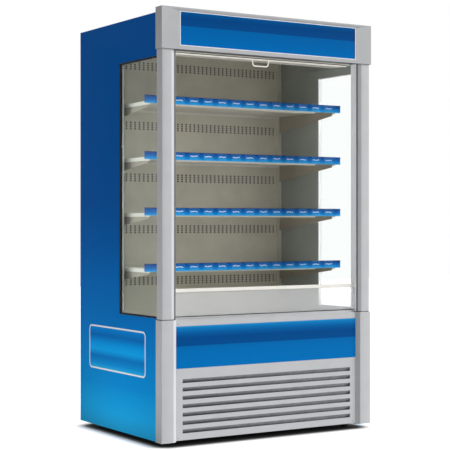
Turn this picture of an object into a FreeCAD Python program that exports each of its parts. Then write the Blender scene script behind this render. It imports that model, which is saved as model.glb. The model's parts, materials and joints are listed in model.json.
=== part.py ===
import FreeCAD, Part
import math
import os

# Open multideck display fridge, in millimetres.  +X is to the right as seen from the front, the
# open front faces -Y and +Z is up.  The origin is on the floor under the middle of the cabinet.

# Overall
height = 1980.0
width = 1160.0            # across the header
depth = 885.0
foot_gap = 22.0           # floor to the underside of the cabinet
sheet = 1.5               # folded steel sheet
foam = 40.0               # insulated roof, back and tub
slide_gap = 0.3           # between neighbouring pieces that only pass by
tube_sides = 6            # flats round a small tube or wire

# Header with its lit sign
header_height = 190.0
header_depth = 60.0
header_wall = 2.0
header_overhang = 7.0     # past the side walls, each side
roof_drop = 21.0          # side walls and roof below the header's top
sign_margin_side = 94.0
sign_margin_bottom = 18.0
sign_margin_top = 17.0
sign_corner = 5.0
sign_lap = 6.0            # sign behind the edge of its window
sign_thickness = 3.0
lamp_tray_height = 60.0
lamp_tray_depth = 8.0

# Side walls and their windows
wall_thickness = 48.0
wall_lift = 1.0           # wall's lower edge above the underside of the frame
glazing = 20.0            # double glazing, over all
pane = 4.0
window_reach = 383.0      # from the wall's front edge to the rear of the black border
window_rise = 7.0         # border above the seam of the columns
window_drop = 28.0        # border below the header
border_rear = 19.0
border_edge = 8.0
reveal_rear = 88.0        # how far the inner opening splays to the rear
reveal_drop = 20.0        # and down

# Columns
upper_setback = 8.0
upper_face = 47.0
upper_bevel_across = 22.0
upper_bevel_deep = 8.0
lower_height = 550.0
lower_setback = 5.0
lower_overhang = 5.0
lower_face = 61.0
lower_bevel_across = 20.0
lower_bevel_deep = 13.0
seam = 3.0                # dark joint between lower and upper columns
jamb_thickness = 3.0
jamb_depth = 46.0
jamb_setback = 17.0

# Kick plate
kick_lift = 5.0
kick_height = 541.0
kick_setback = 18.0
kick_return = 18.0
louvre_count = 7
louvre_height = 17.6
louvre_pitch = 37.9
louvre_first = 31.0       # lowest louvre above the kick plate's lower edge
louvre_margin = 33.0      # plain sheet at each end of a louvre
blade_reach = 12.0
blade_drop = 18.0
graphic_height = 191.0
graphic_rise = 324.0      # graphic panel above the kick plate's lower edge
graphic_thickness = 1.0

# Ledge and glass riser above the kick plate
riser_setback = 32.0
riser_thickness = 6.0
riser_channel_wall = 4.0
riser_channel_height = 10.0
riser_bed = 2.0
rail_height = 16.0
rail_cover = 8.0
rail_round = 2.8
rail_top = 139.0          # above the ledge
ledge_lip = 4.0

# Tub, deck and machine space
frame_rail = 40.0
frame_wall = 3.0
tub_rise = 318.0          # underside of the tub above the underside of the frame
deck_rise = 490.0         # deck surface above the underside of the frame
tub_front_setback = 60.0
grille_depth = 60.0
grille_bar = 6.0
grille_slot = 44.0
deck_lip = 14.0
upright_notch = 0.3       # deck's corner notch to the upright
drain_bore = 11.0
drain_wall = 3.0
drain_length = 40.0
duct_depth = 97.0         # rear air duct

# Shelves
shelf_count = 4
slot_pitch = 52.0
slots_per_shelf = 5
shelf_first = 284.0       # lowest shelf above the deck
shelf_setback = 224.0     # front face of the shelves
shelf_side_gap = 5.0      # shelf to side wall
shelf_rear_gap = 2.0      # shelf to uprights
shelf_stop = 22.0         # front edge above the shelf surface
shelf_skirt = 13.0        # front edge below the shelf surface
shelf_side_lip = 18.0
bracket_thickness = 3.0
bracket_inset = 8.5       # bracket's outer face inside the wall
bracket_setback = 245.0
bracket_front = 25.0
bracket_rear = 84.0
hook_drop = 20.0          # upper hook below the bracket's top edge
hook_height = 8.0
hook_lip = 3.5
upright_width = 23.0
upright_depth = 10.0
slot_height = 18.0
slot_count_below = 4      # slots under the lowest bracket hook
slot_count_above = 4
strip_end_gap = 3.0       # price strip to the side glass
strip_height = 37.0
strip_depth = 4.0
strip_lip = 3.0
strip_cap = 2.0
shelf_lamp_end = 110.0    # lamp short of the shelf's end
lamp_width = 30.0
lamp_inset = 4.0
lamp_step = 8.0
lamp_height = 18.0

# Rear air panel
perforation_pitch = 73.2
perforation_width = 6.0
perforation_height = 38.0
perforation_margin = 37.0
perforation_drop = 47.0   # top row below the ceiling
perforation_under = 60.0  # each row below its shelf

# Canopy
ceiling_drop = 108.0      # interior ceiling below the header's top
soffit_depth = 180.0      # behind the header
soffit_sheet = 2.0
discharge_start = 90.0    # air outlet behind the header
discharge_depth = 80.0
discharge_side = 25.0     # plain soffit at each end of the air outlet
discharge_height = 20.0
discharge_wall = 2.0
discharge_column_count = 16
discharge_row_count = 2

# Night blind
blind_setback = 100.0
blind_bar_height = 10.0
blind_bar_depth = 14.0
blind_bar_round = 3.0
blind_bar_end_gap = 5.0
blind_slot_gap = 3.0
blind_roll = 23.0
blind_pin = 4.0
blind_pin_length = 9.0
pin_clearance = 0.05
blind_hang = 38.0         # roller axis above the bar
blind_cloth = 0.4
blind_cloth_inset = 7.0
blind_bracket = 3.0
blind_bracket_side = 22.0
handle_top = 95.0
handle_bottom = 80.0
handle_drop = 29.0
handle_wire = 3.0
handle_bend = 11.0

# Feet
foot_inset = 20.0         # foot axis inside the side wall
foot_setback = 120.0
foot_pad = 23.0
foot_pad_height = 9.0
foot_stem = 5.0
foot_nut = 9.0
foot_nut_height = 5.0

# Evaporator and its fans
fan_plate_setback = 250.0
fan_offset = 250.0        # each evaporator fan from the middle
fan_radius = 50.0
fan_hub = 19.0
fan_depth = 20.0
fan_tip_gap = 4.0
fan_blade_count = 4
fan_chord = 1.3           # blade width, in hub depths
fan_pitch = 32.0          # degrees
fan_camber = 0.1          # rise of the blade's middle, in hub depths
blade_root = 0.8          # blade's root, in hub radii
shaft_radius = 3.0
shaft_length = 16.0
motor_radius = 33.0
motor_length = 44.0
motor_gap = 4.0
motor_arm = 4.0
evaporator_setback = 380.0
evaporator_depth = 260.0
evaporator_side_gap = 45.0
evaporator_plate = 2.0
coil_tube = 5.0
coil_pitch = 60.0
coil_row_count = 4
bend_chamfer = 0.5        # of a return bend's half height

# Condensing unit
tray_side_gap = 20.0
tray_lip = 15.0
condenser_setback = 120.0
condenser_depth = 60.0
condenser_width = 400.0
condenser_left = -450.0
condenser_height = 250.0
condenser_fan_radius = 100.0
condenser_fan_hub = 26.0
condenser_fan_depth = 36.0
condenser_fan_gap = 22.0
compressor_x = 160.0
compressor_setback = 420.0
compressor_radius = 82.0
compressor_height = 185.0
compressor_crown = 49.0   # radius of the flat crown of its shell
compressor_dome = 25.0    # crown above the shell's straight side
compressor_plate = 3.0
compressor_plate_half = 90.0
compressor_plate_deep = 66.0
compressor_foot = 12.0
compressor_foot_x = 78.0
compressor_foot_y = 53.0
pipe_level = 92.0         # pipes' stubs above the tray
pipe_radius = 4.0
pipe_bend = 22.0
suction_reach = 66.0      # riser of the suction pipe beyond the shell
evaporation_width = 300.0
evaporation_depth = 170.0
evaporation_height = 50.0
evaporation_setback = 640.0
evaporation_wall = 2.0

# Rear grille and electrical box
rear_louvre_count = 6
rear_louvre_height = 9.0
rear_louvre_pitch = 26.0
rear_louvre_first = 70.0
rear_louvre_margin = 60.0
box_width = 150.0
box_height = 170.0
box_depth = 70.0
box_recess = 14.0
box_wall = 2.0
box_right = 60.0          # box inside the right side wall
box_rise = 60.0           # box above the frame rails
switch_inset = 37.5       # switches inside the box's outer side
rocker_width = 14.0
rocker_height = 22.0
rocker_travel_gap = 0.4
rocker_proud = 4.0
rocker_pivot = 5.5        # pivot inside the face of the box
rocker_tilt = 8.0
rocker_root = 0.4         # of the rocker's half height, behind the face
rocker_dip = 0.75         # of its front's reach, at the middle
rocker_pitch = 30.0
knob_radius = 15.0
knob_height = 11.0
knob_ridge = 7.0
knob_ridge_length = 24.0
knob_inset = 105.0        # knob inside the box's outer side
knob_stem = 3.0
gland_radius = 11.0
gland_length = 12.0
gland_flange = 9.0
gland_bore = 4.0

# Worked out from the sizes above
front = -depth / 2
rear = depth / 2
column_rear = front + header_depth
wall_outer = width / 2 - header_overhang
wall_inner = wall_outer - wall_thickness
glass_inner = wall_outer - glazing
header_bottom = height - header_height
wall_top = height - roof_drop
roof_bottom = wall_top - foam
back_inner = rear - foam
seam_low = foot_gap + lower_height
seam_high = seam_low + seam
upper_inner = wall_outer - upper_face - upper_bevel_across
lower_outer = wall_outer + lower_overhang
lower_inner = lower_outer - lower_face - lower_bevel_across
jamb_inner = upper_inner - jamb_thickness
kick_bottom = foot_gap + kick_lift
kick_top = kick_bottom + kick_height
kick_front = front + kick_setback
frame_top = foot_gap + frame_rail
tub_bottom = foot_gap + tub_rise
tub_floor = tub_bottom + foam
deck_top = foot_gap + deck_rise
deck_under = deck_top - sheet
tub_front = front + tub_front_setback
tub_inner = tub_front + foam
grille_rear = tub_inner + grille_depth
ceiling = height - ceiling_drop
air_panel = back_inner - duct_depth - sheet
panel_foot = deck_top - deck_lip
upright_front = air_panel - upright_depth
shelf_pitch = slot_pitch * slots_per_shelf
shelf_tops = [deck_top + shelf_first + shelf_pitch * i for i in range(shelf_count)]
shelf_half = wall_inner - shelf_side_gap
shelf_front = front + shelf_setback
shelf_rear = upright_front - shelf_rear_gap
bracket_outer = wall_inner - bracket_inset
lowest_hook = shelf_tops[0] - sheet - hook_drop - slot_pitch
soffit_rear = column_rear + soffit_depth
blind_bar_top = header_bottom + soffit_sheet
blind_axis_y = front + blind_setback + blind_roll
blind_axis_z = blind_bar_top + blind_hang
tray_top = frame_top + sheet
fan_plate = front + fan_plate_setback
fan_axis_z = (tub_floor + deck_under) / 2
condenser_front = front + condenser_setback
condenser_rear = condenser_front + condenser_depth
condenser_axis_x = condenser_left + condenser_width / 2
condenser_axis_z = tray_top + condenser_height / 2
box_face = rear - box_recess
box_outer = wall_inner - box_right
box_low = frame_top + box_rise
switch_x = box_outer - switch_inset


def vector(x, y, z):
    return FreeCAD.Vector(x, y, z)


def box(x0, x1, y0, y1, z0, z1):
    return Part.makeBox(x1 - x0, y1 - y0, z1 - z0, vector(x0, y0, z0))


def rod_x(x0, x1, y, z, radius):
    return Part.makeCylinder(radius, x1 - x0, vector(x0, y, z), vector(1, 0, 0))


def rod_y(x, y0, y1, z, radius):
    return Part.makeCylinder(radius, y1 - y0, vector(x, y0, z), vector(0, 1, 0))


def rod_z(x, y, z0, z1, radius):
    return Part.makeCylinder(radius, z1 - z0, vector(x, y, z0))


def prism_x(outline, x0, x1):
    """A solid with a Y-Z outline, from x0 to x1."""
    points = [vector(x0, y, z) for y, z in outline]
    return Part.Face(Part.makePolygon(points + points[:1])).extrude(vector(x1 - x0, 0, 0))


def prism_y(outline, y0, y1):
    """A solid with an X-Z outline, from y0 to y1."""
    points = [vector(x, y0, z) for x, z in outline]
    return Part.Face(Part.makePolygon(points + points[:1])).extrude(vector(0, y1 - y0, 0))


def prism_z(outline, z0, z1):
    """A solid with an X-Y outline, from z0 to z1."""
    points = [vector(x, y, z0) for x, y in outline]
    return Part.Face(Part.makePolygon(points + points[:1])).extrude(vector(0, 0, z1 - z0))


def folded(corners, thickness=sheet):
    """The outline of a folded sheet, whose thickness lies to the left of its corners."""
    inner = []
    last = len(corners) - 1
    for i, (a, b) in enumerate(corners):
        sides = []
        for start, end in ((i - 1, i), (i, i + 1)):
            if start >= 0 and end <= last:
                run = corners[end][0] - corners[start][0]
                rise = corners[end][1] - corners[start][1]
                length = math.hypot(run, rise)
                sides.append((-rise / length, run / length))
        across = sum(side[0] for side in sides)
        up = sum(side[1] for side in sides)
        share = thickness * len(sides) / (across * across + up * up)
        inner.append((a + across * share, b + up * share))
    return corners + inner[::-1]


def join(*solids):
    whole = solids[0]
    for solid in solids[1:]:
        whole = whole.fuse(solid)
    return whole.removeSplitter()


def cut(solid, tools):
    return solid.cut(Part.makeCompound(tools))


def mirrored(solid):
    return solid.mirror(vector(0, 0, 0), vector(1, 0, 0))


def both_sides(solid):
    return [mirrored(solid), solid]


def round_rect(x0, x1, z0, z1, radius, y0, y1):
    """A block along Y whose four long edges are rounded."""
    block = box(x0, x1, y0, y1, z0, z1)
    edges = [e for e in block.Edges if abs(e.Vertexes[0].Y - e.Vertexes[1].Y) > (y1 - y0) / 2]
    return block.makeFillet(radius, edges)


def even_rim(x, z, radius, sides):
    """Corners of an even-sided ring in the X-Z plane."""
    turns = [2 * math.pi * k / sides for k in range(sides)]
    return [(x + radius * math.cos(t), z + radius * math.sin(t)) for t in turns]


def ring_face(centre, along, radius):
    """A disc of tube_sides equal sides, square to the run."""
    across = along.cross(vector(0, 1, 0))
    if across.Length < 0.1:
        across = along.cross(vector(0, 0, 1))
    across.normalize()
    beside = vector(along.x, along.y, along.z).normalize().cross(across)
    turns = [2 * math.pi * (k + 0.5) / tube_sides for k in range(tube_sides)]
    points = [centre + across * (radius * math.cos(t)) + beside * (radius * math.sin(t)) for t in turns]
    return Part.Face(Part.makePolygon(points + points[:1]))


def bent_tube(points, bend, radius):
    """A tube or wire along straight runs joined by equal bends."""
    corners = [vector(*p) for p in points]
    pieces = []
    start = corners[0]
    for before, corner, after in zip(corners, corners[1:], corners[2:]):
        back = (before - corner).normalize()
        ahead = (after - corner).normalize()
        half = back.getAngle(ahead) / 2
        entry = corner + back * (bend / math.tan(half))
        centre = corner + (back + ahead).normalize() * (bend / math.sin(half))
        pieces.append(ring_face(start, entry - start, radius).extrude(entry - start))
        arc = ring_face(entry, entry - start, radius)
        pieces.append(arc.revolve(centre, ahead.cross(back), math.degrees(math.pi - 2 * half)))
        start = corner + ahead * (bend / math.tan(half))
    run = corners[-1] - start
    pieces.append(ring_face(start, run, radius).extrude(run))
    return join(*pieces)


def save(name, *solids):
    shape = solids[0] if len(solids) == 1 else Part.makeCompound(solids)
    shape.exportStep("parts/" + name + ".step")


# ---------------------------------------------------------------- frame and feet

def base_frame():
    """Welded frame of square tube; the side rails carry the walls, the cross rails the tray."""
    side = box(wall_inner - frame_rail, wall_inner, column_rear, rear, foot_gap, frame_top)
    bore = box(wall_inner - frame_rail + frame_wall, wall_inner - frame_wall, column_rear, rear,
               foot_gap + frame_wall, frame_top - frame_wall)
    side = side.cut(bore)
    half = wall_inner - frame_rail
    crosses = []
    for y in (column_rear, front + compressor_setback - frame_rail,
              front + evaporation_setback, rear - frame_rail):
        tube = box(-half, half, y, y + frame_rail, foot_gap, frame_top)
        hollow = box(-half, half, y + frame_wall, y + frame_rail - frame_wall,
                     foot_gap + frame_wall, frame_top - frame_wall)
        crosses.append(tube.cut(hollow))
    return join(*both_sides(side), *crosses)


def foot_places():
    x = wall_inner - foot_inset
    return [(sx * x, sy * (depth / 2 - foot_setback)) for sx in (-1, 1) for sy in (-1, 1)]


def levelling_foot(x, y):
    """Six-sided pad, stem and lock nut against the rail, in one piece as it is set."""
    stem = post(x, y, foot_stem, foot_pad_height, foot_gap - foot_nut_height, 2 * tube_sides)
    pad = post(x, y, foot_pad, 0, foot_pad_height, tube_sides)
    nut = post(x, y, foot_nut, foot_gap - foot_nut_height, foot_gap, tube_sides)
    return join(pad, stem, nut)


def post(x, y, radius, low, high, sides):
    """An upright bar with equal flat sides."""
    turns = [2 * math.pi / sides * k for k in range(sides)]
    return prism_z([(x + radius * math.cos(t), y + radius * math.sin(t)) for t in turns], low, high)


# ---------------------------------------------------------------- side walls

def window_block(reach, low, high, x0, x1):
    return box(x0, x1, column_rear, column_rear + reach, low, high)


def window_low():
    return seam_low + window_rise


def window_high():
    return header_bottom - window_drop


def side_wall():
    """Insulated wall whose window is flush outside and splayed inside."""
    wall = box(wall_inner, wall_outer, column_rear, rear, foot_gap + wall_lift, wall_top)
    rebate = window_block(window_reach, window_low(), window_high(), glass_inner, wall_outer)
    sight = window_reach - border_rear
    outer = [(glass_inner, column_rear, window_low() + border_edge),
             (glass_inner, column_rear + sight, window_low() + border_edge),
             (glass_inner, column_rear + sight, window_high() - border_edge),
             (glass_inner, column_rear, window_high() - border_edge)]
    deep = sight + reveal_rear
    low = window_low() + border_edge - reveal_drop
    inner = [(wall_inner, column_rear, low), (wall_inner, column_rear + deep, low),
             (wall_inner, column_rear + deep, header_bottom), (wall_inner, column_rear, header_bottom)]
    wires = []
    for corners in (outer, inner):
        points = [vector(*c) for c in corners]
        wires.append(Part.makePolygon(points + points[:1]))
    reveal = Part.makeLoft(wires, True, True)
    return cut(wall, [rebate, reveal])


def window_gasket():
    """Black edge seal round the rear, top and bottom of the double glazing."""
    outer = window_block(window_reach, window_low(), window_high(), glass_inner, wall_outer)
    inner = window_block(window_reach - border_rear, window_low() + border_edge,
                         window_high() - border_edge, glass_inner, wall_outer)
    return outer.cut(inner)


def window_panes():
    reach = window_reach - border_rear
    low = window_low() + border_edge
    high = window_high() - border_edge
    return [window_block(reach, low, high, glass_inner, glass_inner + pane),
            window_block(reach, low, high, wall_outer - pane, wall_outer)]


# ---------------------------------------------------------------- columns and jambs

def column(outer, face, bevel_across, bevel_deep, setback, low, high):
    """Right-hand column of folded sheet, open at the rear, with its inner front edge bevelled."""
    inner = outer - face - bevel_across
    corners = [(outer, column_rear), (outer, front + setback), (outer - face, front + setback),
               (inner, front + setback + bevel_deep), (inner, column_rear)]
    return prism_z(folded(corners[::-1]), low, high)


def jamb():
    """Light strip on the inner side of the upper column, with a leg behind the column."""
    start = front + jamb_setback
    outline = [(jamb_inner, start), (upper_inner, start), (upper_inner, column_rear),
               (wall_inner, column_rear), (wall_inner, column_rear + sheet),
               (upper_inner, column_rear + sheet), (upper_inner, start + jamb_depth),
               (jamb_inner, start + jamb_depth)]
    return prism_z(outline, seam_high, header_bottom)


# ---------------------------------------------------------------- header

def header_frame():
    """Box with a rounded window in its front for the sign."""
    half = width / 2
    shell = box(-half, half, front, column_rear, header_bottom, height)
    hollow = box(header_wall - half, half - header_wall, front + header_wall,
                 column_rear - header_wall, header_bottom + header_wall, height - header_wall)
    window = round_rect(sign_margin_side - half, half - sign_margin_side,
                        header_bottom + sign_margin_bottom, height - sign_margin_top,
                        sign_corner, front, front + header_wall)
    return cut(shell, [hollow, window])


def header_sign():
    half = width / 2 - sign_margin_side + sign_lap
    return round_rect(-half, half, header_bottom + sign_margin_bottom - sign_lap,
                      height - sign_margin_top + sign_lap, sign_corner,
                      front + header_wall, front + header_wall + sign_thickness)


def header_lamp():
    """Two light strips on the back of the header, on one gear tray."""
    half = width / 2 - sign_margin_side
    middle = (header_bottom + height) / 2
    back = column_rear - header_wall
    tray = box(-half, half, back - lamp_tray_depth, back, middle - lamp_tray_height / 2,
               middle + lamp_tray_height / 2)
    bars = []
    for side in (-1, 1):
        z = middle + side * lamp_tray_height / 4
        bars.append(box(-half, half, back - 2 * lamp_tray_depth, back - lamp_tray_depth,
                        z - lamp_tray_depth, z + lamp_tray_depth))
    return join(tray, *bars)


# ---------------------------------------------------------------- roof, back, canopy

def canopy_soffit():
    """Sheet under the canopy with the blind's slot and the air outlet; its rear edge turns up."""
    outline = folded([(column_rear, header_bottom), (soffit_rear, header_bottom), (soffit_rear, ceiling)],
                     soffit_sheet)
    soffit = prism_x(outline, -wall_inner, wall_inner)
    slot_half = blind_bar_depth / 2 + blind_slot_gap
    half = blind_bar_half() + blind_slot_gap
    slot = box(-half, half, front + blind_setback - slot_half, front + blind_setback + slot_half,
               header_bottom, header_bottom + soffit_sheet)
    outlet = box(-discharge_half(), discharge_half(), column_rear + discharge_start,
                 column_rear + discharge_start + discharge_depth,
                 header_bottom, header_bottom + soffit_sheet)
    return cut(soffit, [slot, outlet])


def discharge_half():
    return wall_inner - discharge_side


def air_discharge():
    """Honeycomb outlet of the air curtain, standing in the soffit."""
    half = discharge_half()
    start = column_rear + discharge_start
    block = box(-half, half, start, start + discharge_depth, header_bottom,
                header_bottom + discharge_height)
    step_x = (2 * half - discharge_wall) / discharge_column_count
    step_y = (discharge_depth - discharge_wall) / discharge_row_count
    cells = []
    for i in range(discharge_column_count):
        for j in range(discharge_row_count):
            x = discharge_wall - half + i * step_x
            y = start + discharge_wall + j * step_y
            cells.append(box(x, x + step_x - discharge_wall, y, y + step_y - discharge_wall,
                             header_bottom, header_bottom + discharge_height))
    return cut(block, cells)


def ceiling_panel():
    return box(-wall_inner, wall_inner, soffit_rear - soffit_sheet, air_panel + sheet,
               ceiling, ceiling + sheet)


def perforation_tops():
    return [ceiling - perforation_drop] + [top - perforation_under for top in shelf_tops]


def rear_air_panel():
    """Perforated sheet in front of the rear air duct."""
    panel = box(-wall_inner, wall_inner, air_panel, air_panel + sheet, panel_foot, ceiling)
    columns = int((wall_inner - perforation_margin) / perforation_pitch)
    slots = []
    for top in perforation_tops():
        for i in range(-columns, columns + 1):
            x = i * perforation_pitch
            slots.append(box(x - perforation_width / 2, x + perforation_width / 2, air_panel,
                             air_panel + sheet, top - perforation_height, top))
    return cut(panel, slots)


# ---------------------------------------------------------------- kick plate, ledge, riser

def louvre(half, low):
    """The opening of one louvre and the blade that hangs behind it."""
    high = low + louvre_height
    opening = box(-half, half, kick_front, kick_front + sheet, low, high)
    back = kick_front + sheet
    blade = prism_x([(back, high), (back, high + sheet), (back + blade_reach, high + sheet - blade_drop),
                     (back + blade_reach, high - blade_drop)], -half, half)
    return opening, blade


def kick_plate():
    """Louvred front cover of the machine space, with its edges turned back."""
    half = lower_inner - slide_gap
    deep = kick_front + kick_return
    profile = folded([(deep, kick_top), (kick_front, kick_top), (kick_front, kick_bottom),
                      (deep, kick_bottom)])
    plate = prism_x(profile, -half, half)
    ends = both_sides(box(half - sheet, half, kick_front, deep, kick_bottom, kick_top))
    openings = []
    blades = []
    for i in range(louvre_count):
        opening, blade = louvre(half - louvre_margin, kick_bottom + louvre_first + i * louvre_pitch)
        openings.append(opening)
        blades.append(blade)
    return join(cut(join(plate, *ends), openings), *blades)


def kick_graphic():
    half = lower_inner - slide_gap
    low = kick_bottom + graphic_rise
    return box(-half, half, kick_front - graphic_thickness, kick_front, low, low + graphic_height)


def riser_low():
    return seam_low + riser_bed


def riser_high():
    return seam_low + rail_top - rail_cover


def front_ledge():
    """Cap over the tub's front wall, with the channel that the riser glass stands in."""
    half = lower_inner - slide_gap
    cap = prism_x(folded([(tub_inner + sheet, deck_top), (tub_inner + sheet, seam_low),
                          (kick_front, seam_low), (kick_front, seam_low - ledge_lip)]), -half, half)
    start = front + riser_setback
    channel = box(-half, half, start - riser_channel_wall, start + riser_thickness + riser_channel_wall,
                  seam_low, seam_low + riser_channel_height)
    groove = box(-half, half, start, start + riser_thickness, riser_low(),
                 seam_low + riser_channel_height)
    return join(cap, channel.cut(groove))


def riser_glass():
    half = jamb_inner - slide_gap
    start = front + riser_setback
    pane_body = box(-half, half, start, start + riser_thickness, riser_low(), riser_high())
    return pane_body


def riser_top_rail():
    half = jamb_inner - slide_gap
    start = front + riser_setback
    high = seam_low + rail_top
    rail = box(-half, half, start - riser_channel_wall, start + riser_thickness + riser_channel_wall,
               high - rail_height, high)
    groove = box(-half, half, start, start + riser_thickness, high - rail_height, riser_high())
    long_edges = [e for e in rail.Edges if abs(e.Vertexes[0].X - e.Vertexes[1].X) > half
                  and e.Vertexes[0].Z > high - rail_height / 2]
    return rail.makeFillet(rail_round, long_edges).cut(groove)


# ---------------------------------------------------------------- tub and deck

def tub():
    """Insulated well under the deck, with a drain spout in its floor."""
    outline = [(tub_front, tub_bottom), (back_inner, tub_bottom), (back_inner, tub_floor),
               (tub_inner, tub_floor), (tub_inner, seam_low - sheet), (tub_front, seam_low - sheet)]
    body = prism_x(outline, -wall_inner, wall_inner)
    x, y = drain_place()
    spout = rod_z(x, y, tub_bottom - drain_length, tub_bottom, drain_bore + drain_wall)
    bore = rod_z(x, y, tub_bottom - drain_length, tub_floor, drain_bore)
    return join(body, spout).cut(bore)


def drain_place():
    return -evaporation_width / 2, front + evaporation_setback + evaporation_depth / 2


def return_air_grille():
    """Slotted sheet that takes the curtain's air back in behind the riser."""
    half = wall_inner - slide_gap
    plate = box(-half, half, tub_inner, grille_rear, deck_under, deck_top)
    step = grille_bar + grille_slot
    count = int((2 * half - grille_bar) / step)
    edge = (2 * half - count * step + grille_bar) / 2
    slots = [box(-half + edge + i * step, -half + edge + i * step + grille_slot,
                 tub_inner + grille_bar * 2, grille_rear - grille_bar * 2, deck_under, deck_top)
             for i in range(count)]
    return cut(plate, slots)


def deck_pan():
    """Bottom shelf over the tub, with a lip under its front edge and notches round the uprights."""
    half = wall_inner - slide_gap
    pan = prism_x(folded([(air_panel - slide_gap, deck_top), (grille_rear, deck_top),
                          (grille_rear, deck_top - deck_lip)]), -half, half)
    notches = both_sides(box(wall_inner - upright_width - upright_notch, wall_inner,
                             upright_front - upright_notch, air_panel, deck_under, deck_top))
    return cut(pan, notches)


# ---------------------------------------------------------------- shelves

def upright():
    """Slotted channel in the rear corner that carries the shelf brackets."""
    left = wall_inner - upright_width
    profile = folded([(wall_inner, air_panel), (wall_inner, upright_front), (left, upright_front),
                      (left, air_panel)][::-1])
    post = prism_z(profile, panel_foot, ceiling)
    count = slot_count_below + slots_per_shelf * (shelf_count - 1) + slot_count_above + 2
    x0 = bracket_outer - bracket_thickness - slide_gap
    slots = []
    for i in range(count):
        low = lowest_hook + (i - slot_count_below) * slot_pitch
        if low > deck_top and low + slot_height < ceiling:
            slots.append(box(x0, bracket_outer + slide_gap, upright_front, upright_front + sheet,
                             low, low + slot_height))
    return cut(post, slots)


def shelf(top):
    """Folded pan with a stop along its front and lips down its sides and rear."""
    pan = box(-shelf_half, shelf_half, shelf_front, shelf_rear, top - sheet, top)
    stop = box(-shelf_half, shelf_half, shelf_front, shelf_front + sheet, top - shelf_skirt,
               top + shelf_stop)
    lips = both_sides(box(shelf_half - sheet, shelf_half, shelf_front, shelf_rear,
                          top - shelf_side_lip, top))
    clear = bracket_outer - bracket_thickness - shelf_side_gap
    rear_lip = box(-clear, clear, shelf_rear - sheet, shelf_rear, top - shelf_skirt, top)
    return join(pan, stop, *lips, rear_lip)


def shelf_bracket(top):
    """Tapered arm whose two hooks hang in the upright's slots."""
    under = top - sheet
    start = front + bracket_setback
    arm = [(start, under), (start, under - bracket_front), (upright_front, under - bracket_rear),
           (upright_front, under)]
    x0 = bracket_outer - bracket_thickness
    plate = prism_x(arm, x0, bracket_outer)
    hooks = []
    neck = upright_front + sheet + slide_gap
    for i in (0, 1):
        low = under - hook_drop - i * slot_pitch
        outline = [(upright_front, low), (neck, low), (neck, low - hook_height),
                   (neck + hook_lip, low - hook_height), (neck + hook_lip, low + hook_height),
                   (upright_front, low + hook_height)]
        hooks.append(prism_x(outline, x0, bracket_outer))
    return join(plate, *hooks)


def price_strip(top):
    """Ticket rail clipped over the shelf's front stop."""
    high = top + shelf_stop + strip_cap
    low = high - strip_height
    face = shelf_front - strip_depth
    back = shelf_front - sheet
    outline = [(face, low), (shelf_front, low), (shelf_front, top + shelf_stop),
               (shelf_front + sheet, top + shelf_stop), (shelf_front + sheet, high), (face, high),
               (face, high - strip_lip), (back, high - strip_lip), (back, low + strip_lip),
               (face, low + strip_lip)]
    half = glass_inner - strip_end_gap
    return prism_x(outline, -half, half)


def strip_lamp(under, start):
    """Two-step lamp profile under a sheet."""
    outline = [(start, under), (start, under - lamp_step), (start + lamp_inset, under - lamp_step),
               (start + lamp_inset, under - lamp_height),
               (start + lamp_width - 2 * lamp_inset, under - lamp_height),
               (start + lamp_width - 2 * lamp_inset, under - lamp_step),
               (start + lamp_width, under - lamp_step), (start + lamp_width, under)]
    half = shelf_half - shelf_lamp_end
    return prism_x(outline, -half, half)


def lamps():
    shelves = [strip_lamp(top - sheet, shelf_front + 2 * lamp_inset) for top in shelf_tops]
    return shelves + [strip_lamp(ceiling, soffit_rear + lamp_inset)]


# ---------------------------------------------------------------- night blind

def blind_bar_half():
    return jamb_inner - blind_bar_end_gap


def blind_bar():
    """Stiff bottom bar of the blind, rounded along its length."""
    half = blind_bar_half()
    y = front + blind_setback
    bar = box(-half, half, y - blind_bar_depth / 2, y + blind_bar_depth / 2,
              blind_bar_top - blind_bar_height, blind_bar_top)
    edges = [e for e in bar.Edges if abs(e.Vertexes[0].X - e.Vertexes[1].X) > half]
    return bar.makeFillet(blind_bar_round, edges)


def blind_handle():
    """Wire loop under the middle of the bar."""
    y = front + blind_setback
    top = blind_bar_top - blind_bar_height
    low = top - handle_drop
    slope = (handle_top - handle_bottom) / 2 / handle_drop
    reach = handle_top / 2 + slope * blind_bar_height
    wire = bent_tube([(-reach, y, top + blind_bar_height), (-handle_bottom / 2, y, low),
                      (handle_bottom / 2, y, low), (reach, y, top + blind_bar_height)],
                     handle_bend, handle_wire)
    return wire.cut(box(-handle_top, handle_top, y - blind_bar_depth, y + blind_bar_depth,
                        top, top + 2 * blind_bar_height))


def blind_roller():
    """Spring roller with the raised cloth wound on it and a pin at each end."""
    half = blind_bar_half() - blind_cloth_inset
    roll = rod_x(-half, half, blind_axis_y, blind_axis_z, blind_roll)
    reach = blind_bar_half() + blind_pin_length
    return join(roll, rod_x(-reach, reach, blind_axis_y, blind_axis_z, blind_pin))


def blind_cloth_run():
    """The stretch of cloth between the roller and the bar."""
    half = blind_bar_half() - blind_cloth_inset
    y = front + blind_setback - slide_gap
    return box(-half, half, y - blind_cloth, y, blind_bar_top, blind_axis_z)


def blind_end_bracket():
    """Plate on the soffit with the bearing of the roller's pin."""
    x0 = blind_bar_half() + blind_bar_end_gap
    low = blind_bar_top
    high = blind_axis_z + blind_bracket_side
    plate = box(x0, x0 + blind_bracket, blind_axis_y - blind_bracket_side,
                blind_axis_y + blind_bracket_side, low, high)
    foot = box(x0, x0 + blind_bracket_side, blind_axis_y - blind_bracket_side,
               blind_axis_y + blind_bracket_side, low, low + blind_bracket)
    bore = rod_x(x0, x0 + blind_bracket, blind_axis_y, blind_axis_z, blind_pin + pin_clearance)
    return join(plate, foot).cut(bore)


# ---------------------------------------------------------------- fans

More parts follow.
